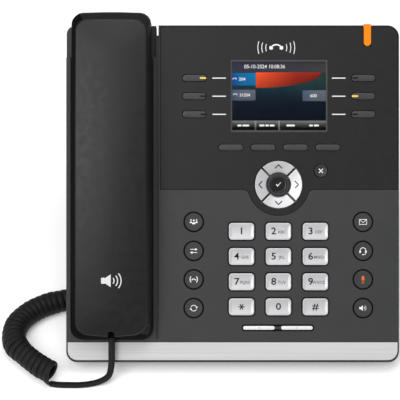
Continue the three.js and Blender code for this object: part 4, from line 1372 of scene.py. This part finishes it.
port_low, port_high = face_box("port_block")
SOCKET_W = (port_low[2] + port_high[2]) / 2
springs = []
for u, count, half in ((-20.0, 8, 4.4), (0.0, 8, 4.4), (20.0, 4, 4.3)):
    for k in range(count):
        place = u + (k - (count - 1) / 2) * CONTACT_PITCH
        springs.append((place - 0.2, place + 0.2, port_low[1] + 1.0, port_low[1] + 7.0,
                        SOCKET_W + half - 0.7, SOCKET_W + half - 0.2))
boxes("socket_springs", springs, GOLD, "base")
boxes("power_pin", [(-39.8, -38.2, port_low[1] + 1.5, port_low[1] + 8.0, SOCKET_W - 0.8, SOCKET_W + 0.8)],
      STEEL, "base", 0.35)

EAR_RINGS = ((0, 1), (4.0, 6), (8.0, 12), (12.0, 18))  # each ring's radius and its number of holes
MOUTH_RINGS = ((0, 1), (2.6, 6))
for name, v, rings in (("ear", 178.0, EAR_RINGS), ("mouth", 35.0, MOUTH_RINGS)):
    # Each sound hole is a flat dark dot on the handset's front shell: painted shade where the hole is.
    hole_shade = Print()
    for reach, count in rings:
        for angle in np.linspace(0, 360, count, endpoint=False):
            hole_shade.dot(*(reach * heading(angle)), SOUND_HOLE, 14)
    hole_shade.lay(f"{name}_sound_hole_shade", HANDSET_U, v, level(CUP_W), PAINTED_SHADE, "handset", -0.02)

# ---- the CAD's own solids, finished


def finish_node(node, look, smooth=30):
    """A CAD solid kept as it is: its gentle angles are shaded smooth, and it gets its material."""
    piece = NODES[node]
    piece.data.materials.clear()
    piece.data.materials.append(look)
    custom = piece.data.attributes.get("custom_normal")
    if custom:
        piece.data.attributes.remove(custom)
    piece.data.shade_smooth()
    weld = piece.modifiers.new("weld", "WELD")
    weld.merge_threshold = 1e-6
    split = piece.modifiers.new("split", "EDGE_SPLIT")
    split.split_angle = math.radians(smooth)
    return piece


for node, look in {
    "front_housing": BLACK, "rear_housing": BLACK, "desk_stand": BLACK, "display_panel": PANEL,
    "trim_strip": TRIM, "lcd_module": STEEL, "message_lamp": AMBER, "key_membrane": SILICONE,
    "main_board": BOARD, "loudspeaker": STEEL, "port_block": PORT, "hook_lever": KEY_GREY,
    "handset_front_shell": SHELL_BLACK, "receiver_capsule": STEEL, "front_foot": FOOT, "stand_foot": FOOT,
}.items():
    finish_node(node, look)

# ---- floor, light and the end


def make_floor():
    look = Look("studio_paper", (0.95, 0.95, 0.95), 0.8, Specular_IOR_Level=0.2)
    look.tint(look.noise(3.0, 2.0), (0.945, 0.945, 0.945), (0.955, 0.955, 0.955))
    look.set("Emission Color", (1.0, 1.0, 1.0, 1.0))
    look.set("Emission Strength", 0.2)
    bm = bmesh.new()
    bmesh.ops.create_grid(bm, x_segments=1, y_segments=1, size=3.0)
    mesh = bpy.data.meshes.new("floor")
    bm.to_mesh(mesh)
    bm.free()
    mesh.materials.append(look.material)
    placed("floor", mesh)


make_floor()
make_camera()
make_light()
